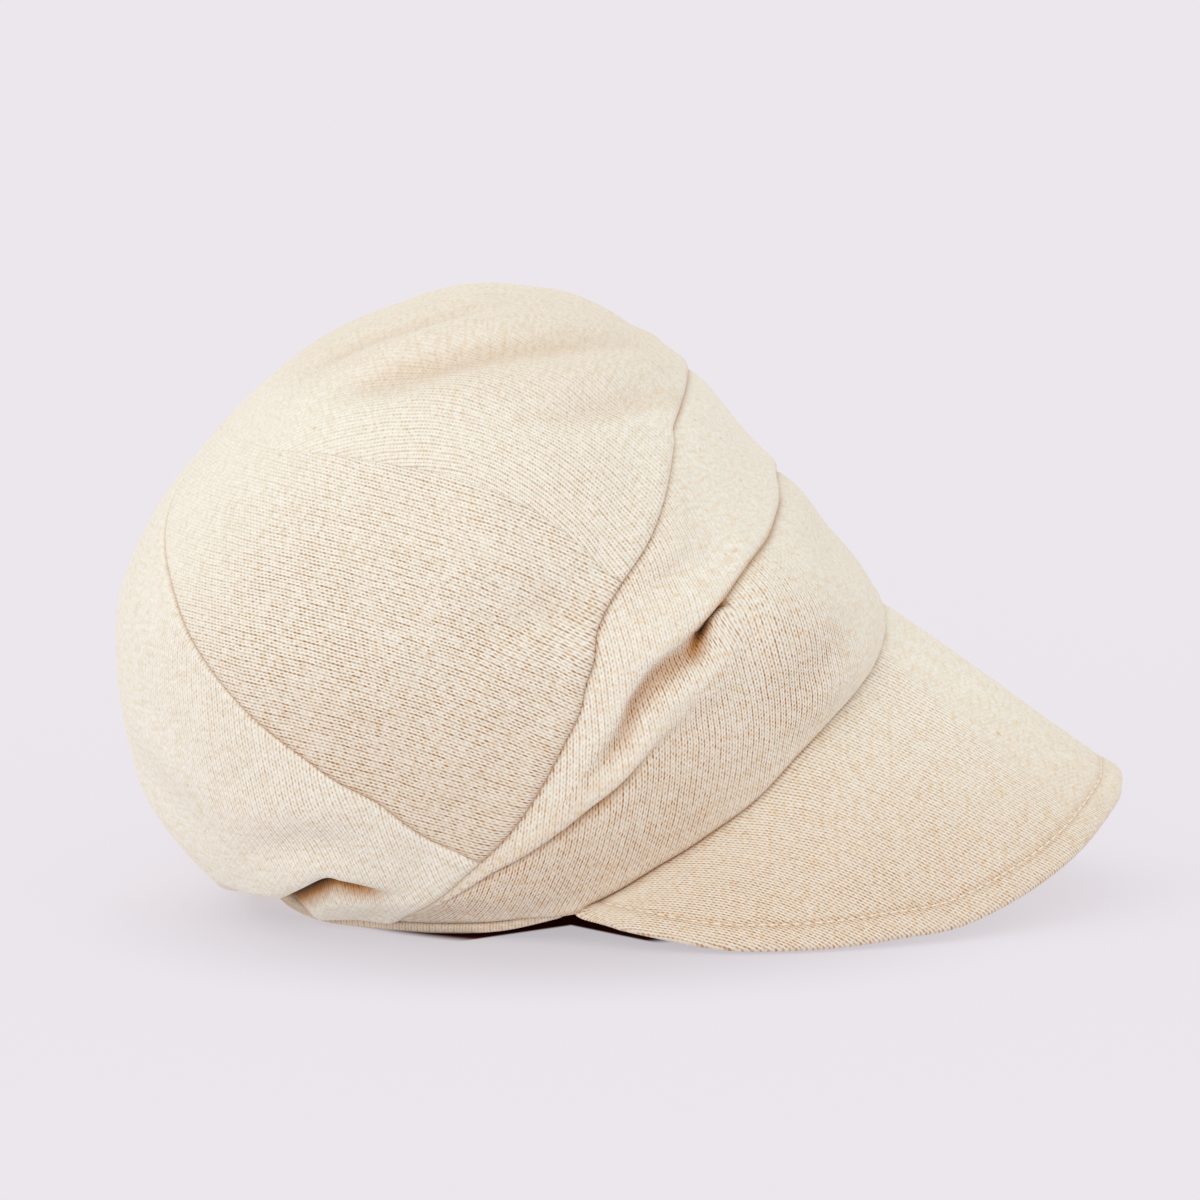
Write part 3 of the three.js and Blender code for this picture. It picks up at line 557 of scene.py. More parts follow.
# Puts points and quads into a mesh with a cloth map in millimetres, turns the quads outward, merges
# the points that meet at the panels' tips, and makes it a piece of the cap.
def meshPiece(name, points, faces, maps, marks, material, node):
    corners = points[faces]
    volume = np.sum(np.cross(corners[:, 0], corners[:, 1]) * corners[:, 2])
    volume += np.sum(np.cross(corners[:, 0], corners[:, 2]) * corners[:, 3])
    if volume < 0:
        faces = faces[:, ::-1]
    _, first, keep = np.unique(np.round(points, 4), axis=0, return_index=True, return_inverse=True)
    keep = keep.reshape(-1)
    merged = keep[faces]
    following = np.roll(merged, -1, axis=1)
    distinct = merged != following
    sizes = distinct.sum(axis=1)
    whole = sizes >= 3
    merged, faces, distinct, sizes = merged[whole], faces[whole], distinct[whole], sizes[whole]
    starts = np.concatenate([[0], np.cumsum(sizes)[:-1]])
    corners = merged[distinct]
    cornerMaps = maps[faces[distinct]]
    mesh = bpy.data.meshes.new(name)
    mesh.vertices.add(len(first))
    mesh.vertices.foreach_set("co", (points[first] * metre).ravel())
    mesh.loops.add(len(corners))
    mesh.loops.foreach_set("vertex_index", corners.astype(np.int32))
    mesh.polygons.add(len(sizes))
    mesh.polygons.foreach_set("loop_start", starts.astype(np.int32))
    mesh.polygons.foreach_set("loop_total", sizes.astype(np.int32))
    layer = mesh.uv_layers.new(name="clothMap")
    layer.data.foreach_set("uv", cornerMaps.ravel())
    for k, mark in enumerate(("paintedShade", "napWearAndLight")):
        values = mesh.attributes.new(mark, "FLOAT", "POINT")
        values.data.foreach_set("value", marks[first, k].astype(np.float32))
    mesh.polygons.foreach_set("use_smooth", np.ones(len(sizes), bool))
    mesh.update(calc_edges=True)
    mesh.validate()
    mesh.materials.append(material)
    piece = bpy.data.objects.new(name, mesh)
    bpy.context.scene.collection.objects.link(piece)
    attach(piece, "root")
    if node:
        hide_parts(node)
    print(name, len(mesh.polygons), "faces")
    return piece


# Adds a node to a tree with its settings; an input is given as a value or as the socket that feeds it.
def addNode(tree, kind, inputs, **settings):
    node = tree.nodes.new(kind)
    for key, value in settings.items():
        setattr(node, key, value)
    for key, value in inputs.items():
        if isinstance(value, bpy.types.NodeSocket):
            tree.links.new(value, node.inputs[key])
        else:
            node.inputs[key].default_value = value
    return node


# An sRGB hex colour made linear: a 2.4 power above the standard's short straight foot.
def linear(hexColour):
    parts = [int(hexColour[k:k + 2], 16) / 255 for k in (1, 3, 5)]
    return [part / 12.92 if part <= 0.04045 else ((part + 0.055) / 1.055) ** 2.4 for part in parts] + [1.0]


# Knitted wool jersey, the smooth face out: columns of V stitches in cream yarn, with gaps between
# the stitches' legs that show as short dashes, every other line of them half a stitch on. The eye
# gets pale cloth with fine tan dashes in a slanting lattice, a heathered mottle, painted warm shade
# down in the folds, beside the seams and low down, and a faint bright fuzz where the cloth turns away.
jersey = {
    "lineSpacing": 0.95,
    "courseSpacing": 1.37,
    "dashStart": -0.45,
    "dashFull": 1.5,
    "lineHeight": 1.2,
    "slantHeight": 0.42,
    "otherSlantHeight": 0.24,
    "columnGap": 0.3,
    "paleDash": 0.42,
    "darkDash": 1.13,
    "gap": "#a9743a",
    "wander": 0.8,
    "wanderScale": 110.0,
    "napScale": 32.0,
    "napRange": (0.35, 0.65),
    "leastNap": 0.82,
    "yarn": "#f3efe2",
    "yarnShade": "#e9e4d4",
    "heatherScale": 900.0,
    "heatherRange": (0.38, 0.62),
    "streak": 0.55,
    "streakTone": "#e2d0b0",
    "streakRange": (0.48, 0.74),
    "streakStretch": (0.2, 0.75, 0),
    "fleck": 0.4,
    "fleckTone": "#d0aa7e",
    "fleckScale": 520.0,
    "fleckRange": (0.66, 0.76),
    # Painted shade tones, multiplied in by the mesh's shade mark: warm in folds and beside seams, deep in
    # slits.
    "foldShadeTone": "#cc985f",
    "foldShadeRange": (0.06, 0.55),
    "deepShadeTone": "#4a2a16",
    "deepShadeRange": (0.5, 0.92),
    "fuzz": 0.9,
    "bumpDepth": 0.16,
    "bumpStrength": 0.7,
    "roughness": 0.92,
    "specular": 0.2,
    "sheen": 0.35,
    "sheenRoughness": 0.45,
    "sheenTint": "#fff6e8",
}


# Four cosine waves over the cloth map add up to the dashes, which a smooth step cuts out and the nap
# hides in part, where the mesh's mark is partly nap wear and partly painted light. Their share mixes
# the yarn's heathered colour into the gap's, and the mesh's painted shade mark multiplies that by the
# warm and then by the deep shade tone.
def knittedWoolJersey(name, **changes):
    look = {**jersey, **changes}
    material = bpy.data.materials.new(name)
    material.use_nodes = True
    tree = material.node_tree
    tree.nodes.clear()
    calculate = "ShaderNodeMath"
    mapRange = "ShaderNodeMapRange"
    clothMap = addNode(tree, "ShaderNodeUVMap", {}, uv_map="clothMap").outputs["UV"]
    place = addNode(tree, "ShaderNodeTexCoord", {}).outputs["Object"]
    # The lines wander by a fifth of a millimetre over about a centimetre, as hand and wash leave them.
    wander = addNode(tree, "ShaderNodeTexNoise", {
        "Vector": place, "Scale": look["wanderScale"], "Detail": 1.0,
    })
    offset = addNode(tree, "ShaderNodeVectorMath", {
        0: wander.outputs["Color"], 1: (0.5, 0.5, 0.5),
    }, operation="SUBTRACT")
    shifted = addNode(tree, "ShaderNodeVectorMath", {
        0: offset.outputs[0], 1: (look["wander"], look["wander"], 0), 2: clothMap,
    }, operation="MULTIPLY_ADD")
    split = addNode(tree, "ShaderNodeSeparateXYZ", {0: shifted.outputs[0]})
    # Four cosines, across the lines, along both slants and across every other line, meet in the
    # dashes. Each has its turns to a line and to a course, and its height.
    cosines = (
        (1, 0, look["lineHeight"]),
        (0.5, 1, look["slantHeight"]),
        (-0.5, 1, look["otherSlantHeight"]),
        (0.5, 0, look["columnGap"]),
    )
    line = addNode(tree, calculate, {0: split.outputs[0], 1: look["lineSpacing"]}, operation="DIVIDE")
    course = addNode(tree, calculate, {0: split.outputs[1], 1: look["courseSpacing"]}, operation="DIVIDE")
    total = 0.0
    for lines, courses, height in cosines:
        ahead = addNode(tree, calculate, {
            0: course.outputs[0], 1: 2 * math.pi * courses,
        }, operation="MULTIPLY")
        phase = addNode(tree, calculate, {
            0: line.outputs[0], 1: 2 * math.pi * lines, 2: ahead.outputs[0],
        }, operation="MULTIPLY_ADD")
        wave = addNode(tree, calculate, {0: phase.outputs[0]}, operation="COSINE")
        added = addNode(tree, calculate, {
            0: wave.outputs[0], 1: height, 2: total,
        }, operation="MULTIPLY_ADD")
        total = added.outputs[0]
    dash = addNode(tree, mapRange, {
        "Value": total, "From Min": look["dashStart"], "From Max": look["dashFull"],
    }, interpolation_type="SMOOTHSTEP")
    # Each dash has its own tone.
    lineNumber = addNode(tree, calculate, {0: line.outputs[0]}, operation="ROUND")
    alongLine = addNode(tree, calculate, {
        0: lineNumber.outputs[0], 1: 0.5, 2: course.outputs[0],
    }, operation="MULTIPLY_ADD")
    dashNumber = addNode(tree, calculate, {0: alongLine.outputs[0]}, operation="ROUND")
    dashPlace = addNode(tree, "ShaderNodeCombineXYZ", {0: lineNumber.outputs[0], 1: dashNumber.outputs[0]})
    dashTone = addNode(tree, "ShaderNodeTexWhiteNoise", {"Vector": dashPlace.outputs[0]})
    toneShare = addNode(tree, mapRange, {
        "Value": dashTone.outputs["Value"], "To Min": look["paleDash"], "To Max": look["darkDash"],
    })
    toned = addNode(tree, calculate, {0: dash.outputs[0], 1: toneShare.outputs[0]}, operation="MULTIPLY")
    # Patches some centimetres wide where the brushed fibre hides the gaps more or less.
    nap = addNode(tree, "ShaderNodeTexNoise", {"Vector": place, "Scale": look["napScale"], "Detail": 2.0})
    napShare = addNode(tree, mapRange, {
        "Value": nap.outputs[0], "From Min": look["napRange"][0], "From Max": look["napRange"][1],
        "To Min": look["leastNap"], "To Max": 1.0,
    })
    patchy = addNode(tree, calculate, {0: toned.outputs[0], 1: napShare.outputs[0]}, operation="MULTIPLY")
    # How far the dashes show comes from the mesh: partly nap wear, partly painted light that pales them
    # where the cloth faces up or back, and painted shade that darkens them in folds.
    napWearAndLight = addNode(tree, "ShaderNodeAttribute", {}, attribute_name="napWearAndLight")
    gaps = addNode(tree, calculate, {0: patchy.outputs[0], 1: napWearAndLight.outputs["Fac"]}, operation="MULTIPLY")
    # Heather: single tan and white fibres, drawn about 0.7 mm long so that they show.
    heather = addNode(tree, "ShaderNodeTexNoise", {
        "Vector": place, "Scale": look["heatherScale"], "Detail": 3.0,
    })
    mottle = addNode(tree, mapRange, {
        "Value": heather.outputs[0],
        "From Min": look["heatherRange"][0], "From Max": look["heatherRange"][1],
    })
    mixed = addNode(tree, "ShaderNodeMix", {
        0: mottle.outputs[0], 6: linear(look["yarnShade"]), 7: linear(look["yarn"]),
    }, data_type="RGBA")
    # The yarn's tone changes along its length, so it streaks the courses for some stitches at a time.
    drawn = addNode(tree, "ShaderNodeVectorMath", {
        0: shifted.outputs[0], 1: look["streakStretch"],
    }, operation="MULTIPLY")
    streak = addNode(tree, "ShaderNodeTexNoise", {"Vector": drawn.outputs[0], "Scale": 1.0, "Detail": 2.0})
    streakShare = addNode(tree, mapRange, {
        "Value": streak.outputs[0], "To Max": look["streak"],
        "From Min": look["streakRange"][0], "From Max": look["streakRange"][1],
    })
    yarn = addNode(tree, "ShaderNodeMix", {
        0: streakShare.outputs[0], 6: mixed.outputs[2], 7: linear(look["streakTone"]),
    }, data_type="RGBA")
    flecks = addNode(tree, "ShaderNodeTexNoise", {
        "Vector": place, "Scale": look["fleckScale"], "Detail": 2.0,
    })
    fleckShare = addNode(tree, mapRange, {
        "Value": flecks.outputs[0], "To Max": look["fleck"],
        "From Min": look["fleckRange"][0], "From Max": look["fleckRange"][1],
    })
    flecked = addNode(tree, "ShaderNodeMix", {
        0: fleckShare.outputs[0], 6: yarn.outputs[2], 7: linear(look["fleckTone"]),
    }, data_type="RGBA")
    knit = addNode(tree, "ShaderNodeMix", {
        0: gaps.outputs[0], 6: flecked.outputs[2], 7: linear(look["gap"]),
    }, data_type="RGBA")
    # Painted shade: by the mesh's shade mark the colour is multiplied by a warm tone in folds, beside
    # seams and low down, and by a deep tone in the deepest slits.
    paintedShade = addNode(tree, "ShaderNodeAttribute", {}, attribute_name="paintedShade")
    colour = knit.outputs[2]
    for tone, reach in ((look["foldShadeTone"], look["foldShadeRange"]), (look["deepShadeTone"], look["deepShadeRange"])):
        share = addNode(tree, mapRange, {
            "Value": paintedShade.outputs["Fac"], "From Min": reach[0], "From Max": reach[1],
        })
        tinted = addNode(tree, "ShaderNodeMix", {
            0: share.outputs[0], 6: colour, 7: linear(tone),
        }, data_type="RGBA", blend_type="MULTIPLY")
        colour = tinted.outputs[2]
    # The stitches' relief: the gaps sink and single fibres stand up a little.
    sunk = addNode(tree, calculate, {0: gaps.outputs[0], 1: -1.0, 2: 1.0}, operation="MULTIPLY_ADD")
    fuzz = addNode(tree, calculate, {
        0: heather.outputs[0], 1: look["fuzz"], 2: sunk.outputs[0],
    }, operation="MULTIPLY_ADD")
    bump = addNode(tree, "ShaderNodeBump", {
        "Height": fuzz.outputs[0], "Strength": look["bumpStrength"], "Distance": look["bumpDepth"] * metre,
    })
    shader = addNode(tree, "ShaderNodeBsdfPrincipled", {
        "Base Color": colour, "Normal": bump.outputs[0], "Roughness": look["roughness"],
        "Specular IOR Level": look["specular"], "Sheen Weight": look["sheen"],
        "Sheen Roughness": look["sheenRoughness"], "Sheen Tint": linear(look["sheenTint"]),
    })
    addNode(tree, "ShaderNodeOutputMaterial", {"Surface": shader.outputs[0]})
    return material


# Spun thread of the topstitching: twisted, so the eye gets it a little smoother and shinier than the
# jersey, and a shade tanner.
threadLook = {"colour": "#efe3cd", "roughness": 0.65, "sheen": 0.2}


def spunThread():
    material = bpy.data.materials.new("spunThread")
    material.use_nodes = True
    shader = material.node_tree.nodes["Principled BSDF"]
    shader.inputs["Base Color"].default_value = linear(threadLook["colour"])
    shader.inputs["Roughness"].default_value = threadLook["roughness"]
    shader.inputs["Sheen Weight"].default_value = threadLook["sheen"]
    return material


# The same jersey as each panel holds it. The band's hangs slack, so its stitches draw together; the
# peak's is pulled flat, so its dashes are more even; both are a little warmer in gaps and streaks.
# The hem's is turned and sewn, so its gaps are paler.
warmer = {"gap": "#b27634", "streakTone": "#e6cda6"}
slack = {"lineSpacing": 0.84, "courseSpacing": 1.2, "columnGap": 0.4}
pulled = {"columnGap": 0.15, "paleDash": 0.6, "darkDash": 1.05}
crownKnit = knittedWoolJersey("knittedWoolJersey")
bandKnit = knittedWoolJersey("drapedWoolJersey", **slack, **warmer)
peakKnit = knittedWoolJersey("stretchedWoolJersey", **pulled, **warmer)
hemKnit = knittedWoolJersey("turnedWoolJersey", gap="#c99a6a")
thread = spunThread()


# The view of the photograph: square to the cap's side, from a little above. "width" is what the
# picture takes in at the target's distance.
view = {
    "targetX": -5.8,
    "targetZ": 85.4,
    "distance": 2200.0,
    "elevation": 8.5,
    "width": 346.8,
    "sensor": 36.0,
    "farthest": 100000.0,
}


# The lens is to the sensor's width as the distance is to the width of the view.
def makeCamera():
    data = bpy.data.cameras.new("camera")
    data.sensor_width = view["sensor"]
    data.lens = view["sensor"] * view["distance"] / view["width"]
    data.clip_end = view["farthest"] * metre
    camera = bpy.data.objects.new("camera", data)
    lift = math.radians(view["elevation"])
    camera.location = (
        view["targetX"] * metre,
        -view["distance"] * math.cos(lift) * metre,
        (view["targetZ"] + view["distance"] * math.sin(lift)) * metre,
    )
    camera.rotation_euler = (math.pi / 2 - lift, 0, 0)
    bpy.context.scene.collection.objects.link(camera)
    bpy.context.scene.camera = camera


makeCamera()

# A pale floor that runs on past the picture, under an even white sky and one broad soft lamp. The
# floor glows, as a light table does, except under the crown: there a painted shadow of dark red-brown
# paper lies as far as the rim, and less far where the rim lifts beside the peak.
studio = {
    "floorColour": "#ebe6ec",
    "floorSize": 40000.0,
    "glowShare": 0.72,
    "level": 1.015,
    # The painted shadow under the crown: dark red-brown paper in an ellipse cut off at the notch.
    "paintedShadowColour": "#4d1a0c",
    "darkCentre": (-14.0, 0.0),
    "darkHalf": (77.0, 81.0),
    "darkEdge": 0.05,
    "notch": (-14.0, -53.0),
    "notchSlopes": (0.77, 1.08),
    "notchEdge": 1.5,
    # A painted soft shadow: the floor's glow sinks by this share in a wide ellipse about the cap.
    "shadeCentre": (-20.0, -50.0),
    "shadeHalf": (140.0, 120.0),
    "shadeRange": (0.35, 1.05),
    "shade": 0.22,
    "skyStrength": 0.91,
    "skyColour": "#ffffff",
    "lampPower": 0.85,
    "lampAngle": 60.0,
    "lampFrom": (-0.4, -0.85, 0.28),
}


# The distance from an ellipse's centre as a share of the way to its edge, on the floor.
def ellipseReach(tree, place, centre, half):
    centred = addNode(tree, "ShaderNodeVectorMath", {
        0: place, 1: (centre[0] * metre, centre[1] * metre, 0),
    }, operation="SUBTRACT")
    scaled = addNode(tree, "ShaderNodeVectorMath", {
        0: centred.outputs[0], 1: (half[0] * metre, half[1] * metre, 1),
    }, operation="DIVIDE")
    reach = addNode(tree, "ShaderNodeVectorMath", {0: scaled.outputs[0]}, operation="LENGTH")
    return reach.outputs["Value"]


# Translucent paper lit from below, which gives the eye a pale floor almost without shadows: its own
# light and plain diffuse paper share the floor's colour, and the glow sinks a little in a wide
# ellipse about the cap, a painted soft shadow. In the dark ellipse, as far as the notch's edge, it is
# dull dark red-brown paper, a painted shadow standing in for the shade under the crown.
def lightTablePaper():
    material = bpy.data.materials.new("lightTablePaper")
    material.use_nodes = True
    tree = material.node_tree
    tree.nodes.clear()
    calculate = "ShaderNodeMath"
    mapRange = "ShaderNodeMapRange"
    colour = linear(studio["floorColour"])
    place = addNode(tree, "ShaderNodeTexCoord", {}).outputs["Object"]
    under = addNode(tree, mapRange, {
        "Value": ellipseReach(tree, place, studio["darkCentre"], studio["darkHalf"]),
        "From Min": 1 + studio["darkEdge"], "From Max": 1 - studio["darkEdge"],
    }, interpolation_type="SMOOTHSTEP")
    # The notch's edge on the floor lies at y = notchY less the slopes' mean times |x - notchX| and
    # less half their difference times (x - notchX).
    notchX, notchY = studio["notch"]
    slopeBehind, slopeAhead = studio["notchSlopes"]
    split = addNode(tree, "ShaderNodeSeparateXYZ", {0: place})
    beside = addNode(tree, calculate, {0: split.outputs[0], 1: notchX * metre}, operation="SUBTRACT")
    away = addNode(tree, calculate, {0: beside.outputs[0]}, operation="ABSOLUTE")
    tilted = addNode(tree, calculate, {
        0: beside.outputs[0], 1: (slopeAhead - slopeBehind) / 2, 2: split.outputs[1],
    }, operation="MULTIPLY_ADD")
    inward = addNode(tree, calculate, {
        0: away.outputs[0], 1: (slopeAhead + slopeBehind) / 2, 2: tilted.outputs[0],
    }, operation="MULTIPLY_ADD")
    behind = addNode(tree, mapRange, {
        "Value": inward.outputs[0], "From Min": (notchY - studio["notchEdge"]) * metre,
        "From Max": (notchY + studio["notchEdge"]) * metre,
    }, interpolation_type="SMOOTHSTEP")
    dark = addNode(tree, calculate, {0: under.outputs[0], 1: behind.outputs[0]}, operation="MULTIPLY")
    full = studio["glowShare"] * studio["level"]
    glow = addNode(tree, mapRange, {
        "Value": ellipseReach(tree, place, studio["shadeCentre"], studio["shadeHalf"]),
        "From Min": studio["shadeRange"][0], "From Max": studio["shadeRange"][1],
        "To Min": full * (1 - studio["shade"]), "To Max": full,
    }, interpolation_type="SMOOTHSTEP")
    light = addNode(tree, "ShaderNodeEmission", {"Color": colour, "Strength": glow.outputs[0]})
    paper = addNode(tree, "ShaderNodeBsdfDiffuse", {
        "Color": [part * (1 - studio["glowShare"]) for part in colour[:3]] + [1.0],
    })
    both = addNode(tree, "ShaderNodeAddShader", {0: light.outputs[0], 1: paper.outputs[0]})
    shaded = addNode(tree, "ShaderNodeBsdfDiffuse", {"Color": linear(studio["paintedShadowColour"])})
    either = addNode(tree, "ShaderNodeMixShader", {
        0: dark.outputs[0], 1: both.outputs[0], 2: shaded.outputs[0],
    })
    addNode(tree, "ShaderNodeOutputMaterial", {"Surface": either.outputs[0]})
    return material


# One square of floor, the sky, and a lamp turned so that its light comes from the place given.
def makeStudio():
    half = studio["floorSize"] / 2 * metre
    corners = [(-half, -half, 0), (half, -half, 0), (half, half, 0), (-half, half, 0)]
    mesh = bpy.data.meshes.new("studioFloor")
    mesh.from_pydata(corners, [], [(0, 1, 2, 3)])
    floor = bpy.data.objects.new("studioFloor", mesh)
    bpy.context.scene.collection.objects.link(floor)
    mesh.materials.append(lightTablePaper())
    world = bpy.context.scene.world or bpy.data.worlds.new("studioSky")
    bpy.context.scene.world = world
    world.use_nodes = True
    sky = world.node_tree.nodes["Background"]
    sky.inputs["Color"].default_value = linear(studio["skyColour"])
    sky.inputs["Strength"].default_value = studio["skyStrength"]
    lamp = bpy.data.lights.new("broadLamp", "SUN")
    lamp.energy = studio["lampPower"]
    lamp.angle = math.radians(studio["lampAngle"])
    holder = bpy.data.objects.new("broadLamp", lamp)
    x, y, z = studio["lampFrom"]
    holder.rotation_euler = (math.atan2(math.hypot(x, y), z), 0, math.atan2(y, x) + math.pi / 2)
    bpy.context.scene.collection.objects.link(holder)
    scene = bpy.context.scene
    scene.view_settings.view_transform = "Standard"
    scene.view_settings.look = "None"


makeStudio()
print("studio ready")


# A panel's base, normals and free share, ready for its folds. Each panel then adds its cloth map, its
# share of showing dashes, partly nap wear and partly painted light, its "gloom", by which a section's
# depth darkens the cloth with painted shade, and its extra painted tan shade added to that. Three
# numbers in a panel's values are an amount and the places or distances between which it comes in or
# dies away. Two are such places alone, or an amount and a bell's reach.
def startPanel(chart, sides):
    base, normal, rimDistance = clothBase(chart)
    free = 1 - fallOff(rimDistance, rim["calmReach"])
    return {
        "chart": chart, "base": base, "normal": normal, "free": free, "sides": sides,
        "soft": softRelief(chart), "sharp": np.zeros(base.shape[:-1]), "shift": np.zeros(base.shape),
    }


# Lays a section over a panel, its shift along the direction given and its height along the normal:
# v is each point's distance from the section's line.
def layOver(panel, name, v, direction, strength=1.0):
    across, height = sectionAt(name, v)
    panel["sharp"] += height * strength
    panel["shift"] += direction * (across * strength)[..., None]


# The arc of the middle line's circle in the chart from one point's angle to another's, the short way.
def middleArc(start, end, shares):
    first = math.atan2(start[1], start[0])
    sweep = (math.atan2(end[1], end[0]) - first + math.pi) % (2 * math.pi) - math.pi
    angles = first + sweep * shares
    reach = form["chartRadius"] * math.pi / 2
    return np.stack([reach * np.cos(angles), reach * np.sin(angles)], axis=-1)


# Painted tan shade beside a seam or a pressed fold: a bell with this reach, about a millimetre.
seamShadeReach = 1.3


def seamShade(distance, amount):
    return bell(distance, amount, seamShadeReach)


# The long pointed panel over the top, from the tip behind to the seam in front, mirrored over the
# middle. Its wales run from back to front.
crownTop = {
    "length": 165.0,
    "depth": 70.0,
    "alongStep": 1.35,
    "acrossStep": 1.3,
    "acrossScale": 80.0,        # millimetres of cloth to a radian
    "alongScale": 93.0,
    "tilt": 0.36,               # how steeply the wales fall behind the tilt's end
    "tiltSpread": (0.05, 0.5),  # the angles from the middle over which they begin to
    "tiltEnd": -20.0,
    "tiltSoftness": 12.0,
    "wearAndLight": 0.6,
    "gloom": 1.6,
    "topShade": (0.12, 135, 162),
    "frontSeamShade": 0.3,
}


# A patch from the top seam to the middle line's arc. Its cloth map is the angle from the middle and
# the angle round it, each times a scale, tilted behind and away from the middle.
def makeCrownTop():
    lengthwise = spread(crownTop["length"], nearGroove, nearSeam, crownTop["alongStep"])
    crosswise = spread(crownTop["depth"], nearGroove, nearMiddle, crownTop["acrossStep"])
    low = walk(topSeam, lengthwise)
    high = middleArc(topSeam[0], frontOverTop[-1], lengthwise)
    left = np.repeat(topSeam[:1], len(crosswise), axis=0)
    right = walk(frontOverTop, crosswise)
    panel = startPanel(patchBetween(low, high, left, right, lengthwise, crosswise), [1, -1])
    base = panel["base"]
    toFront = arcAcross(base)
    toFront = toFront - toFront[:, -1:]
    panel["free"] *= smoothStep(-toFront, 0, seams["calmReach"])
    layOver(panel, "crownLip", toFront, directionAcross(base))
    layOver(panel, "flatEdge", arcDown(base), directionDown(base))
    lean = np.linalg.norm(panel["chart"], axis=-1) / form["chartRadius"]
    angle = np.arctan2(panel["chart"][..., 1], panel["chart"][..., 0])
    fromMiddle = lean - math.pi / 2
    softness = crownTop["tiltSoftness"]
    behind = base[..., 0] - softness * np.log1p(np.exp((base[..., 0] - crownTop["tiltEnd"]) / softness))
    tilt = crownTop["tilt"] * behind * smoothStep(-fromMiddle, *crownTop["tiltSpread"])
    across = crownTop["acrossScale"] * fromMiddle + tilt
    panel["uv"] = np.stack([across, -crownTop["alongScale"] * angle], axis=-1)
    # The dashes' share is partly nap wear and partly painted light; painted shade darkens the top and tans
    # the cloth beside the front seam.
    panel["wearAndLight"] = crownTop["wearAndLight"]
    panel["gloom"] = crownTop["gloom"]
    onTop = rising(base[..., 2], *crownTop["topShade"])
    panel["warmth"] = (onTop + seamShade(toFront, crownTop["frontSeamShade"])).T
    # Columns run from the right seam over the middle to the left one.
    for key in ("base", "normal", "shift", "uv"):
        panel[key] = panel[key].swapaxes(0, 1)
    for key in ("free", "soft", "sharp"):
        panel[key] = panel[key].T
    return wallPiece("crownTopCloth", clothFaces(panel), crownKnit, "crown_top")


# The seam behind sinks over half as deep again higher up, where the cloth is drawn tighter: one and
# a share that rises with the height.
deeperSeam = (0.6, 50, 105)


def seamDepth(height):
    return 1 + rising(height, *deeperSeam)


# The leaf-shaped panel beside the crown. Its wales run from back to front, falling forwards and
# more steeply so towards the front, and bend up beside the front seam's lower part.
crownSide = {
    "length": 185.0,
    "depth": 95.0,
    "alongStep": 1.3,
    "acrossStep": 1.3,
    "middleX": -60.0,
    "slope": 0.32,
    "slopeByLength": 0.0034,
    "slopeByHeight": -0.0018,
    "slopeFrom": 88.0,
    "bend": (4.0, 30, 70),      # how far the wales rise at the front seam, and up to which height
    "bendReach": 9.0,
    "wearAndLight": 0.98,
    "topNapAndLight": (0.16, 70, 115),
    "gloom": 1.6,
    "lowShade": (0.14, 30, 135),
    "frontSeamShade": 0.3,
    "sideShade": 0.15,
}


# A patch from the top seam to the side seam. Across the wales its cloth map is the height plus a
# slope times the length, the slope itself changing with length and height, less the bend.
def makeCrownSide(name, node, side):
    lengthwise = spread(crownSide["length"], nearGroove, nearSeam, crownSide["alongStep"])
    crosswise = spread(crownSide["depth"], nearGroove, nearGroove, crownSide["acrossStep"])
    low = walk(topSeam, lengthwise)
    high = walk(sideSeam, lengthwise)
    left = np.repeat(topSeam[:1], len(crosswise), axis=0)
    right = walk(frontBesidePanel, crosswise)
    panel = startPanel(patchBetween(low, high, left, right, lengthwise, crosswise), [side])
    base = panel["base"]
    toFront = arcAcross(base)
    toFront = toFront - toFront[:, -1:]
    down = arcDown(base)
    panel["free"] *= smoothStep(-toFront, 0, seams["calmReach"])
    layOver(panel, "crownLip", toFront, directionAcross(base))
    layOver(panel, "flatEdge", down, directionDown(base))
    layOver(panel, "sewnEdge", down[-1:] - down, -directionDown(base), seamDepth(base[-1:, :, 2]))
    x = base[..., 0] - crownSide["middleX"]
    z = base[..., 2]
    across = z + crownSide["slope"] * x + crownSide["slopeByLength"] * x * x / 2
    across += crownSide["slopeByHeight"] * x * np.maximum(z - crownSide["slopeFrom"], 0)
    across -= dying(z, *crownSide["bend"]) * np.exp(toFront / crownSide["bendReach"])
    along = panel["chart"][..., 0] - crownSide["slope"] * panel["chart"][..., 1]
    panel["uv"] = np.stack([across, along], axis=-1)
    # The dashes show less higher up, partly nap wear and partly painted light; painted shade darkens the
    # cloth low down and tans it beside the front and side seams.
    panel["wearAndLight"] = crownSide["wearAndLight"] - rising(z, *crownSide["topNapAndLight"])
    panel["gloom"] = crownSide["gloom"]
    panel["warmth"] = dying(z, *crownSide["lowShade"]) + seamShade(toFront, crownSide["frontSeamShade"])
    panel["warmth"] += seamShade(down[-1:] - down, crownSide["sideShade"])
    return wallPiece(name, clothFaces(panel), crownKnit, node)


# Polar chart rows between guide lines: cubics through the guides, column by column. place is 0 on
# the first guide, 1 on the second and so on.
def between(guides, place):
    guides = np.stack(guides)
    slopes = np.gradient(guides, axis=0)
    row = np.clip(np.floor(place).astype(int), 0, len(guides) - 2)
    share = (place - row)[..., None]
    columns = np.arange(guides.shape[1])[None, :]
    start, startSlope = guides[row, columns], slopes[row, columns]
    end, endSlope = guides[row + 1, columns], slopes[row + 1, columns]
    return cubicBetween(start, startSlope, end, endSlope, share)


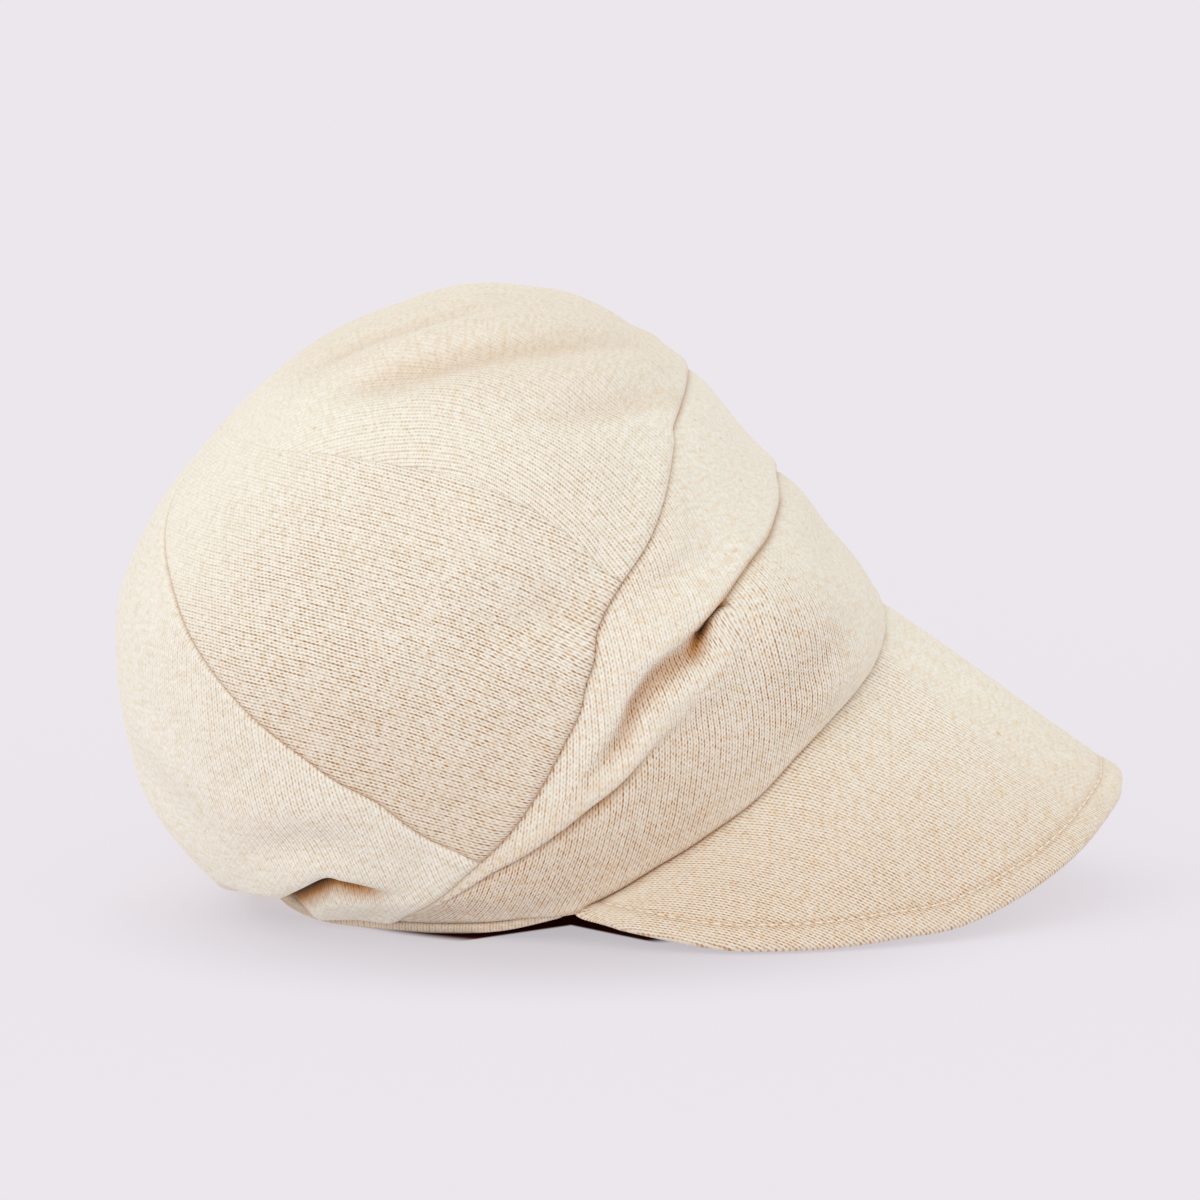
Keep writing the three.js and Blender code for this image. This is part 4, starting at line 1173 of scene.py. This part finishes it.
# A guide line as lean and angle at shares of its length. The angle is measured from the turn given,
# so that it jumps only opposite to it, away from the panel.
def guide(line, shares, turn):
    points = walk(line, shares)
    lean = np.linalg.norm(points, axis=-1)
    cos, sin = math.cos(turn), math.sin(turn)
    x, y = points[:, 0], points[:, 1]
    return np.stack([lean, np.arctan2(y * cos - x * sin, x * cos + y * sin) + turn], axis=-1)


# Chart points from lean and angle.
def fromPolar(polar):
    return np.stack([polar[..., 0] * np.cos(polar[..., 1]), polar[..., 0] * np.sin(polar[..., 1])], axis=-1)


# How many places a column is measured at between two guides, and the most of that length which the
# close rows beside one guide take up.
stack = {"samples": 9, "nearShare": 0.4}


# Rows through a stack of guides: near each guide at the distances of nearSeam, shortened where two
# guides run close, and evenly between. It gives each row's place in the stack and the guides' rows.
def stackPlaces(guides, middles):
    places = []
    guideRows = [0]
    for k in range(len(guides) - 1):
        samples = np.linspace(k, k + 1, stack["samples"])[:, None] * np.ones(guides[0].shape[0])
        length = arcDown(formPoint(fromPolar(between(guides, samples))))[-1]
        reach = np.minimum(nearSeam[-1], stack["nearShare"] * length)
        near = nearSeam[:, None] / nearSeam[-1] * reach
        middle = np.linspace(0, 1, middles[k] + 1)[1:-1, None] * (length - 2 * reach) + reach
        offsets = np.concatenate([near, middle, length - near[::-1]])
        share = offsets / np.maximum(length, 1e-6)
        share = np.where(length > 1e-6, share, np.linspace(0, 1, len(share))[:, None])
        places.append(k + share if k == 0 else (k + share)[1:])
        guideRows.append(guideRows[-1] + len(share) - 1)
    return np.concatenate(places), guideRows


# How strong a section is along a guide, by the guide's x: straight lines between a table's rows.
def strengthAlong(guidePolar, table):
    x = formPoint(fromPolar(guidePolar))[:, 0]
    knots = np.array(table, float)
    return np.interp(x, knots[:, 0], knots[:, 1])


# The one panel round the back of the head. A full pouch of cloth sinks over the hem behind and
# turns under along a line; its wales run up and down.
crownBack = {
    "length": 190.0,
    "acrossStep": 1.35,
    "middles": [34, 6],
    "edgeFrom": 0.8,            # the share of the length from which the front edge is put right
    "pouchLine": [
        (-108.7, 0.6), (-103.5, 4), (-95.6, 9.5), (-88.7, 14.2), (-82.5, 17.7), (-77.4, 16.8),
        (-70.3, 15.6), (-61.8, 15.2), (-50.6, 13.5),
    ],
    "pouch": [(-108, 0.35), (-103, 0.7), (-96, 1.0), (-85, 1.1), (-76, 0.6), (-67, 0.15), (-58, 0)],
    "pouchHeight": 14.0,        # the lip is made smaller where the line runs closer to the rim
    "leastRoom": 0.2,
    "acrossScale": 98.0,
    "narrowing": 0.35,
    "alongScale": 100.0,
    "liftSlope": 0.24,
    "liftStart": 0.6,
    "mostLift": 9.0,
    "liftFade": (83, 93),
    "gloom": 1.45,
    "wearAndLight": 0.55,
}


# Rows between the side seam, the pouch's line and the rim. Its cloth map is the longitude about the
# upright line, narrowing towards the top by a power of the latitude's cosine, and the latitude.
def makeCrownBack():
    shares = spread(crownBack["length"], nearMiddle, nearSeam, crownBack["acrossStep"])
    pouchLine = chartLine(crownBack["pouchLine"], middleStart=True)
    lines = [sideSeam, pouchLine, rimBehind]
    guides = [guide(line, shares, math.pi) for line in lines]
    places, guideRows = stackPlaces(guides, crownBack["middles"])
    chart = fromPolar(between(guides, places))
    # The front edge follows the seam exactly, fading back over the last part of the panel.
    reached = arcDown(formPoint(chart[:, -1:]))[:, 0]
    edge = walk(frontTail, reached / reached[-1])
    chart += (edge - chart[:, -1])[:, None] * smoothStep(shares, crownBack["edgeFrom"], 1.0)[None, :, None]
    panel = startPanel(chart, [1, -1])
    base = panel["base"]
    down = arcDown(base)
    toFront = arcAcross(base)
    toFront = toFront - toFront[:, -1:]
    downward = directionDown(base)
    layOver(panel, "sewnEdge", down, downward, seamDepth(base[:1, :, 2]))
    panel["free"] *= smoothStep(-toFront, 0, seams["calmReach"])
    layOver(panel, "crownLip", toFront, directionAcross(base))
    fromPouch = down - down[guideRows[1]]
    room = np.clip(fromPouch[-1] / crownBack["pouchHeight"], crownBack["leastRoom"], 1)
    strength = strengthAlong(guides[1], crownBack["pouch"])
    layOver(panel, "pouchLip", fromPouch / room, downward, strength * room)
    layOver(panel, "hemEdge", down - down[-1:], downward)
    lean = np.linalg.norm(chart, axis=-1) / form["chartRadius"]
    angle = np.arctan2(chart[..., 1], chart[..., 0])
    backward = -np.sin(lean) * np.cos(angle)
    sideways = np.cos(lean)
    upward = np.sin(lean) * np.sin(angle)
    longitude = np.arctan2(sideways, backward)
    latitude = np.arcsin(np.clip(upward, -1, 1))
    across = -crownBack["acrossScale"] * longitude * np.cos(latitude) ** crownBack["narrowing"]
    panel["uv"] = np.stack([across, crownBack["alongScale"] * latitude], axis=-1)
    # The pouch lies on the floor behind and lifts off it towards the sides.
    lift = crownBack["liftSlope"] * np.abs(base[..., 1]) - crownBack["liftStart"]
    lift = np.clip(lift, 0, crownBack["mostLift"]) * smoothStep(-base[..., 0], *crownBack["liftFade"])
    panel["lowest"] = wall["lowest"] + lift
    # Painted shade by the folds' depth, and the dashes' share, partly nap wear and partly painted light.
    panel["gloom"] = crownBack["gloom"]
    panel["wearAndLight"] = crownBack["wearAndLight"]
    panel["warmth"] = 0.0
    for key in ("base", "normal", "shift", "uv", "free", "soft", "sharp", "lowest"):
        panel[key] = panel[key][:, ::-1]
    return wallPiece("crownBackCloth", clothFaces(panel), crownKnit, "crown_back")


# The tall draped band, from its point at the rim on one side round the front to the other. A deep
# pleat falls across it from the middle of the front, and a roll of cloth below the pleat turns over
# a lower crease that runs to the rim. Its wales run from the peak's seam up to the crown.
band = {
    "length": 205.0,
    "alongStep": 1.15,
    "nearPoint": [0, 0.5, 1.1],
    "middles": [12, 8, 14],
    "fullHeight": 60.0,         # the sections are made smaller where the band is lower than this
    "leastRoom": 0.08,
    "overPeak": (-16, -8),
    "pleatLine": [
        (-66, 2), (-50.6, 12.2), (-42, 19.3), (-33.6, 26.8), (-24, 36), (-14, 47), (-1.6, 63.3),
        (2.5, 72.2), (7.2, 79.0), (13, 83.6), (20.8, 89.2), (25.1, 93), (30.2, 98.5), (36.8, 106.2),
        (42.1, 111.4), (44.7, 116.6), (43.6, 122.3),
    ],
    "creaseLine": [
        (-66, 2), (-55, 8.2), (-44, 15.8), (-33.7, 23.6), (-22.5, 30.8), (-11.4, 39.3), (-0.2, 48.2),
        (9.2, 58.7), (16.5, 65.1), (22, 71.7), (30, 78), (41, 86), (52, 93), (59, 99), (61.5, 103),
    ],
    "pleatClosed": [(27.5, 0), (30, 1)],
    "pleatDeep": [(18.5, 0), (22, 0.5), (25, 1), (27.5, 1), (30, 0)],
    "pleatOpen": [(-14, 0), (-4, 0.5), (3, 0.9), (12, 1), (18.5, 0.95), (22, 0.5), (25, 0)],
    "deepSize": [(20, 0.62), (23, 0.72), (27, 0.7), (30, 0.42)],
    "crease": [(-60, 0.3), (-50, 0.7), (-38, 1.0), (-20, 1.0), (-4, 0.9), (6, 0.55), (14, 0.25), (22, 0)],
    "upperMiddle": 82.0,
    "upperSlope": 0.17,
    "upperCurve": 0.0037,
    "lowerMiddle": 55.0,
    "lowerScale": 1.08,
    "lowerCurve": 0.0062,
    "lowerTwist": 0.0006,
    "twistFrom": 20.0,
    "changeAt": 1.0,            # how far below the pleat's line the lower wales begin
    "wrap": (36, 85),           # the angles from the cap's side over which the wales turn to run along
    "wrapScale": 1.25,
    "wrapOffset": 58.0,
    "courseSlope": 0.2,
    "wearAndLight": 0.4,
    "belowWearAndLight": (0.46, -2, 4),
    "frontWearAndLight": (1.0, 30, 60),
    "crownWearAndLight": (0.45, 100, 155),
    "crownReach": 8.0,
    "lowerNapAndLight": (0.4, 5.0),
    "rollNapAndLight": (0.6, 3.5),
    "rollAt": -2.5,
    "rollFade": (15, 40),
    "gloom": 1.25,
    "valleyLight": (0.62, 9, 14),
    "valleyEnd": (18.5, 24),    # along the pleat
    "valleyEdge": (-2, 2),      # across it
    "lowShade": (0.11, 20, 90),
    "sideShade": (0.05, 25, 50),
    "upperSeamShade": 0.25,
    "lowerSeamShade": 0.22,
    "pleatShade": 0.3,
    "pleatShadeAt": -0.4,
    "pleatShadeFade": (14, 24),
}


# Rows between the upper seam, the pleat, the crease and the lower seam. Above the pleat the cloth
# map is the length plus a slope and a curve of the height; below it the length is scaled and the
# curve twists with it; towards the middle both give way to the distance from the cap's side.
def makeBand():
    shares = spread(band["length"], np.array(band["nearPoint"]), nearMiddle, band["alongStep"])
    upper = np.concatenate([frontTail[::-1], frontBesidePanel[::-1][1:], frontOverTop[1:]])
    lower = np.concatenate([rimBeside, peakSeam[1:]])
    pleatLine = chartLine(band["pleatLine"], middleEnd=True)
    creaseLine = chartLine(band["creaseLine"], middleEnd=True)
    guides = [guide(line, shares, 0.0) for line in (upper, pleatLine, creaseLine, lower)]
    places, guideRows = stackPlaces(guides, band["middles"])
    chart = fromPolar(between(guides, places))
    panel = startPanel(chart, [1, -1])
    base = panel["base"]
    down = arcDown(base)
    downward = directionDown(base)
    room = np.clip(down[-1] / band["fullHeight"], band["leastRoom"], 1)
    panel["free"] *= smoothStep(down, 0, seams["calmReach"])
    layOver(panel, "bandUpperEdge", down / room, downward, room)
    fromPleat = down - down[guideRows[1]]
    for name in ("pleatClosed", "pleatDeep", "pleatOpen"):
        strength = strengthAlong(guides[1], band[name])
        size = room * (strengthAlong(guides[1], band["deepSize"]) if name == "pleatDeep" else 1)
        layOver(panel, name, fromPleat / size, downward, strength * size)
    fromCrease = down - down[guideRows[2]]
    strength = strengthAlong(guides[2], band["crease"])
    layOver(panel, "rollOver", fromCrease / room, downward, strength * room)
    toLower = down - down[-1:]
    overPeak = smoothStep(base[-1:, :, 0], *band["overPeak"])
    layOver(panel, "bandLowerLip", toLower, downward, overPeak)
    layOver(panel, "hemEdge", toLower / room, downward, (1 - overPeak) * room)
    # Above the pleat the wales fall forwards; below it they fall backwards low down and forwards
    # higher up. The change lies hidden in the pleat. Near the middle they run along it.
    x = base[..., 0]
    z = base[..., 2]
    above = z - band["upperMiddle"]
    below = z - band["lowerMiddle"]
    upperMap = x + band["upperSlope"] * above + band["upperCurve"] * above ** 2
    lowerMap = band["lowerScale"] * x + band["lowerCurve"] * below ** 2
    lowerMap -= band["lowerTwist"] * (x - band["twistFrom"]) * below
    across = np.where(fromPleat < band["changeAt"], upperMap, lowerMap)
    lean = np.linalg.norm(chart, axis=-1)
    wrap = smoothStep(np.degrees(lean / form["chartRadius"]), *band["wrap"])
    across += (band["wrapScale"] * lean - band["wrapOffset"] - across) * wrap
    panel["uv"] = np.stack([across, band["courseSlope"] * chart[..., 0] - chart[..., 1]], axis=-1)
    # The dashes show more, partly by nap wear and partly by painted light, below the pleat, round the
    # front and in a strip beside the crown, and less above the pleat, over the lower seam and on the roll.
    onRoll = bell(fromCrease - band["rollAt"], *band["rollNapAndLight"]) * (1 - smoothStep(x, *band["rollFade"]))
    panel["wearAndLight"] = band["wearAndLight"] + rising(fromPleat, *band["belowWearAndLight"]) + rising(x, *band["frontWearAndLight"])
    panel["wearAndLight"] += dying(z, *band["crownWearAndLight"]) * np.exp(-down / band["crownReach"])
    panel["wearAndLight"] *= (1 - bell(toLower, *band["lowerNapAndLight"])) * (1 - onRoll)
    # The painted shade is darkest in the pleat's slit and less deep in the open valley behind that.
    inValley = (1 - smoothStep(x, *band["valleyEnd"])) * smoothStep(fromPleat, *band["valleyEdge"])
    panel["gloom"] = band["gloom"] - inValley * dying(fromPleat, *band["valleyLight"])
    # Painted shade: darker low down and towards the side below the pleat, and tan beside both seams and the
    # pleat.
    belowPleat = smoothStep(fromPleat, *band["belowWearAndLight"][1:])
    panel["warmth"] = dying(z, *band["lowShade"]) + dying(x, *band["sideShade"]) * belowPleat
    panel["warmth"] += seamShade(down, band["upperSeamShade"]) + seamShade(toLower, band["lowerSeamShade"])
    besidePleat = seamShade(fromPleat - band["pleatShadeAt"], band["pleatShade"])
    panel["warmth"] += besidePleat * smoothStep(x, *band["pleatShadeFade"])
    return wallPiece("bandCloth", clothFaces(panel), bandKnit, "band")


# The peak: jersey over a flat stiffener, cambered, with a rounded sewn edge and one row of
# topstitching. Rows run from the cap's seam out to the free edge, columns from corner to corner.
peak = {
    "thickness": 3.0,
    "edge": [
        (-13.0, 79.5, 7.5), (5.4, 89.1, 3.9), (27.6, 94.6, 0.5), (44.3, 94.5, 0), (61, 90.5, 0.2),
        (78, 83.8, 1.5), (95.3, 74.7, 3.1), (113.7, 60.9, 9.6), (129.7, 43.7, 18.3),
        (141.6, 21.5, 28.2), (143.6, 11, 31.4), (144.3, 0, 32.6),
    ],
    "camber": 2.4,
    "edgeRound": 1.9,
    "stitchInset": 8.0,
    "stitchDent": (0.3, 1.1),
    "swelling": (0.25, 2.6),
    "tuckReach": 3.0,
    "tuckIn": 1.2,
    "tuckDown": 0.5,
    "cornerShare": 0.07,
    "cornerThinness": 0.15,
    "slack": 0.35,
    "slackScale": 0.8,
    "calmReach": 10.0,
    "leastThickness": 0.02,
    "lowest": 0.05,
    "upperLowest": 0.1,
    "length": 190.0,
    "depth": 85.0,
    "alongStep": 1.3,
    "acrossStep": 1.3,
    "nearCorner": [0, 0.6, 1.3],
    "nearCap": [0, 0.5, 1.2, 2.0],
    "nearEdge": 11,             # how many of a seam's close rows the free edge gets
    "stride": 0.02,             # the share of the edge over which its direction is taken
    "waleSpread": 0.0037,
    "waleDraw": 3.2e-5,
    "waleMiddle": 75.0,
    "seamDark": 0.35,
    "seamReach": 0.8,
    "stitchDark": 0.12,
    "lowShade": (0.14, 10, 100),
    "wearAndLight": 0.82,
    "lowWearAndLight": (0.18, 12, 45),
}


# The peak's upper face before its edge is rounded: straight across from the seam to the edge, which
# is raised by the thickness, at each share of their lengths, and raised between them by the camber,
# a sine outward times a sine round the peak.
def peakRows():
    shares = spread(peak["length"], np.array(peak["nearCorner"]), nearMiddle, peak["alongStep"])
    inner = formPoint(walk(peakSeam, shares))
    edgeLine = smoothCurve([(x, -y, z) for x, y, z in peak["edge"]], twinPoint, roundEnd=True)
    outer = walk(edgeLine, shares)
    further = walk(edgeLine, np.minimum(shares + peak["stride"], 1))
    ahead = further - walk(edgeLine, np.maximum(shares - peak["stride"], 0))
    ahead[-1, 0] = ahead[-1, 2] = 0
    depth = outer - inner
    up = unit(np.cross(ahead, depth))
    up *= np.where(up[:, 2:] < 0, -1, 1)
    thickness = peak["thickness"] * smoothStep(shares, 0, peak["cornerShare"])[:, None]
    outer = outer + up * thickness
    nearEdge = nearSeam[:peak["nearEdge"]]
    outward = spread(peak["depth"], np.array(peak["nearCap"]), nearEdge, peak["acrossStep"])
    place = outward[:, None, None]
    top = inner[None] * (1 - place) + outer[None] * place
    camber = peak["camber"] * np.sin(math.pi * (1 - shares))
    top[..., 2] += camber[None] * np.sin(math.pi * outward)[:, None]
    return top, shares


# Both faces lie half the thickness from a sheet midway between them, less near the edge, by a quarter
# circle, and a little less along the stitches. Beside the seam the peak is tucked in under the band.
def makePeak():
    top, shares = peakRows()
    normal = unit(np.cross(np.gradient(top, axis=1), np.gradient(top, axis=0)))
    normal *= np.where(normal[..., 2:] < 0, -1, 1)
    normal[:, -1, 1] = 0
    normal = unit(normal)
    fromCap = arcDown(top)
    inset = fromCap[-1:] - fromCap
    thin = peak["cornerThinness"]
    corner = smoothStep(shares, 0, peak["cornerShare"]) * (1 - thin) + thin
    rounding = np.clip(inset / peak["edgeRound"], 0, 1)
    half = corner * peak["thickness"] / 2
    bulge = half * np.sqrt(np.maximum(1 - (1 - rounding) ** 2, 0.0)) + peak["leastThickness"]
    dent = corner * bell(inset - peak["stitchInset"], *peak["stitchDent"])
    swelling = corner * bell(inset - peak["stitchInset"] / 2, *peak["swelling"])
    middle = top - normal * half[..., None]
    tuck = fallOff(fromCap, peak["tuckReach"])
    slope = -directionDown(top) * (tuck * peak["tuckIn"])[..., None]
    slope -= normal * (tuck * peak["tuckDown"])[..., None]
    lie = peak["slack"] * clothWaves(top * peak["slackScale"])
    lie *= (1 - tuck) * np.clip(inset / peak["calmReach"], 0, 1) * corner
    upper = middle + normal * (bulge - dent + swelling * rounding + lie)[..., None] + slope
    lower = middle - normal * (bulge - 0.5 * dent - lie)[..., None] + slope
    lower[..., 2] = np.maximum(lower[..., 2], peak["lowest"])
    upper[..., 2] = np.maximum(upper[..., 2], peak["upperLowest"])
    upper[:, -1, 1] = 0
    lower[:, -1, 1] = 0
    # The wales run out to the free edge and draw together a little in front and behind.
    sideArc = top[..., 1] * (1 + peak["waleSpread"] * np.abs(top[..., 1]))
    sideArc *= 1 + peak["waleDraw"] * (top[..., 0] - peak["waleMiddle"]) ** 2
    uv = np.stack([sideArc, top[..., 0]], axis=-1)
    # Painted shade along the cap's seam, in the stitches' dents and low down; the dashes show more low
    # down, partly nap wear and partly painted light.
    paintedShade = peak["seamDark"] * np.exp(-fromCap / peak["seamReach"])
    paintedShade += peak["stitchDark"] * dent / peak["stitchDent"][0]
    paintedShade += dying(top[..., 2], *peak["lowShade"])
    wearAndLight = peak["wearAndLight"] + dying(top[..., 2], *peak["lowWearAndLight"])
    marks = np.stack([paintedShade, napWearAndLight(normal, paintedShade, wearAndLight)], axis=-1)
    wallPiece("peakCloth", {
        "outer": np.concatenate([upper, twinPoint(upper[:, -2::-1])], axis=1),
        "inner": np.concatenate([lower, twinPoint(lower[:, -2::-1])], axis=1),
        "uv": np.concatenate([uv, uv[:, -2::-1] * np.array([-1, 1])], axis=1),
        "marks": np.concatenate([marks, marks[:, -2::-1]], axis=1),
    }, peakKnit, "peak")
    return upper, normal, inset


# The row of stitches round the peak: short rounded lengths of thread, sunk to their middles in the
# cloth, at even steps along the line that lies the inset from the edge.
topstitch = {
    "length": 2.5,
    "width": 0.55,
    "sink": 0.25,
    "spacing": 3.2,
    "clearance": 2.0,
    "around": 8,
    "along": 7,
}


# The line is found column by column where the inset is the stitches' own. A stitch is a tube whose
# radius is the root of a sine along it, and its ends sink by a share of the width.
def makeTopstitch(upper, normal, inset):
    grids = np.concatenate([upper, normal], axis=-1)
    line = np.array([
        [np.interp(-peak["stitchInset"], -inset[:, c], grids[:, c, k]) for k in range(6)]
        for c in range(grids.shape[1]) if inset[0, c] > peak["stitchInset"] + topstitch["clearance"]
    ])
    far = line[-2::-1] * np.array([1, -1, 1, 1, -1, 1])
    line = np.concatenate([line, far])
    steps = np.linalg.norm(np.diff(line[:, :3], axis=0), axis=1)
    length = np.sum(steps)
    count = int(length / topstitch["spacing"])
    centres = (np.arange(count) + 0.5) / count
    reached = np.concatenate([[0], np.cumsum(steps)]) / length
    found = np.stack([np.interp(centres, reached, line[:, k]) for k in range(6)], axis=-1)
    middle = found[:, :3]
    up = unit(found[:, 3:])
    ahead = unit(np.gradient(middle, axis=0))
    aside = np.cross(up, ahead)
    lengthwise = np.linspace(0, math.pi, topstitch["along"])
    turns = np.linspace(0, 2 * math.pi, topstitch["around"], endpoint=False)
    reach = -0.5 * topstitch["length"] * np.cos(lengthwise)[:, None] * np.ones(len(turns))
    radius = 0.5 * topstitch["width"] * np.sqrt(np.sin(lengthwise))[:, None]
    sink = topstitch["sink"] * topstitch["width"] * (1 - np.sin(lengthwise))[:, None]
    rise = radius * np.sin(turns) - sink
    points = middle[:, None, None] + ahead[:, None, None] * reach[None, ..., None]
    points = points + aside[:, None, None] * (radius * np.cos(turns))[None, ..., None]
    points = points + up[:, None, None] * rise[None, ..., None]
    rings, around = reach.shape
    index = np.arange(rings * around).reshape(rings, around)
    following = np.roll(index, -1, axis=1)
    quads = np.stack([index[:-1], following[:-1], following[1:], index[1:]], axis=-1).reshape(-1, 4)
    quads = (quads[None] + (np.arange(count) * rings * around)[:, None, None]).reshape(-1, 4)
    points = points.reshape(-1, 3)
    maps = np.zeros((len(points), 2))
    meshPiece("peakTopstitch", points, quads, maps, maps, thread, None)


# The turned hem that the cap lies on: a flattened roll of cloth carried along the rim's line.
hem = {
    "thickness": 3.2,
    "height": 3.2,
    "roundness": 2.6,
    "sides": 20,
    "stepsEachSide": 130,
    "end": 0.992,
    "stride": 0.01,
    "taper": 40.0,
    "thinnest": 0.02,
    "mapAround": 10.0,
    "dark": 0.2,
    "wearAndLight": 0.7,
}


# A superellipse carried along the rim's line, on its inner side and standing on the floor or the
# line, and tapered by a square root to its ends beside the peak.
def makeHem():
    shares = np.linspace(0, hem["end"], hem["stepsEachSide"] + 1)
    path = walk(hemLine, shares)
    further = walk(hemLine, np.minimum(shares + hem["stride"], 1))
    ahead = further - walk(hemLine, np.maximum(shares - hem["stride"], 0))
    outward = unit(np.stack([ahead[:, 1], -ahead[:, 0], np.zeros(len(ahead))], axis=-1))
    outward[0] = (-1, 0, 0)
    turns = np.linspace(0, 2 * math.pi, hem["sides"], endpoint=False)
    power = 2 / hem["roundness"]
    across = hem["thickness"] / 2 * np.sign(np.cos(turns)) * np.abs(np.cos(turns)) ** power
    rise = hem["height"] / 2 * np.sign(np.sin(turns)) * np.abs(np.sin(turns)) ** power
    centre = path - outward * hem["thickness"] / 2
    centre[:, 2] = np.maximum(centre[:, 2], 0) + hem["height"] / 2
    taper = np.sqrt(np.clip((1 - shares / hem["end"]) * hem["taper"], hem["thinnest"], 1))
    rings = centre[:, None] + outward[:, None] * (across[None, :, None] * taper[:, None, None])
    rings[..., 2] += rise[None] * taper[:, None]
    rings = np.concatenate([twinPoint(rings[:0:-1]), rings])
    count, sides = rings.shape[:2]
    index = np.arange(count * sides).reshape(count, sides)
    following = np.roll(index, -1, axis=1)
    faces = np.stack([index[:-1], index[1:], following[1:], following[:-1]], axis=-1).reshape(-1, 4)
    points = rings.reshape(-1, 3)
    length = np.concatenate([[0], np.cumsum(np.linalg.norm(np.diff(rings[:, 0], axis=0), axis=1))])
    turned = np.linspace(0, hem["mapAround"], sides)
    maps = np.stack([length[:, None] * np.ones(sides), turned * np.ones((count, 1))], axis=-1)
    # The two ends are closed to a point in their middles.
    ends = np.stack([rings[0].mean(axis=0), rings[-1].mean(axis=0)])
    firstEnd = np.full(sides, len(points))
    lastEnd = firstEnd + 1
    first = np.stack([following[0], index[0], firstEnd, firstEnd], axis=-1)
    last = np.stack([index[-1], following[-1], lastEnd, lastEnd], axis=-1)
    faces = np.concatenate([faces, first, last])
    points = np.concatenate([points, ends])
    maps = np.concatenate([maps.reshape(-1, 2), np.zeros((2, 2))])
    # An even share of painted shade all along the hem, and its share of showing dashes, partly nap wear and
    # partly painted light.
    marks = np.full((len(points), 2), (hem["dark"], hem["wearAndLight"]))
    meshPiece("hemRoll", points, faces, maps, marks, hemKnit, "hem")


crownTopCloth = makeCrownTop()
crownSideRightCloth = makeCrownSide("crownSideRightCloth", "crown_side_right", 1)
crownSideLeftCloth = makeCrownSide("crownSideLeftCloth", "crown_side_left", -1)
crownBackCloth = makeCrownBack()
bandCloth = makeBand()
makeTopstitch(*makePeak())
makeHem()
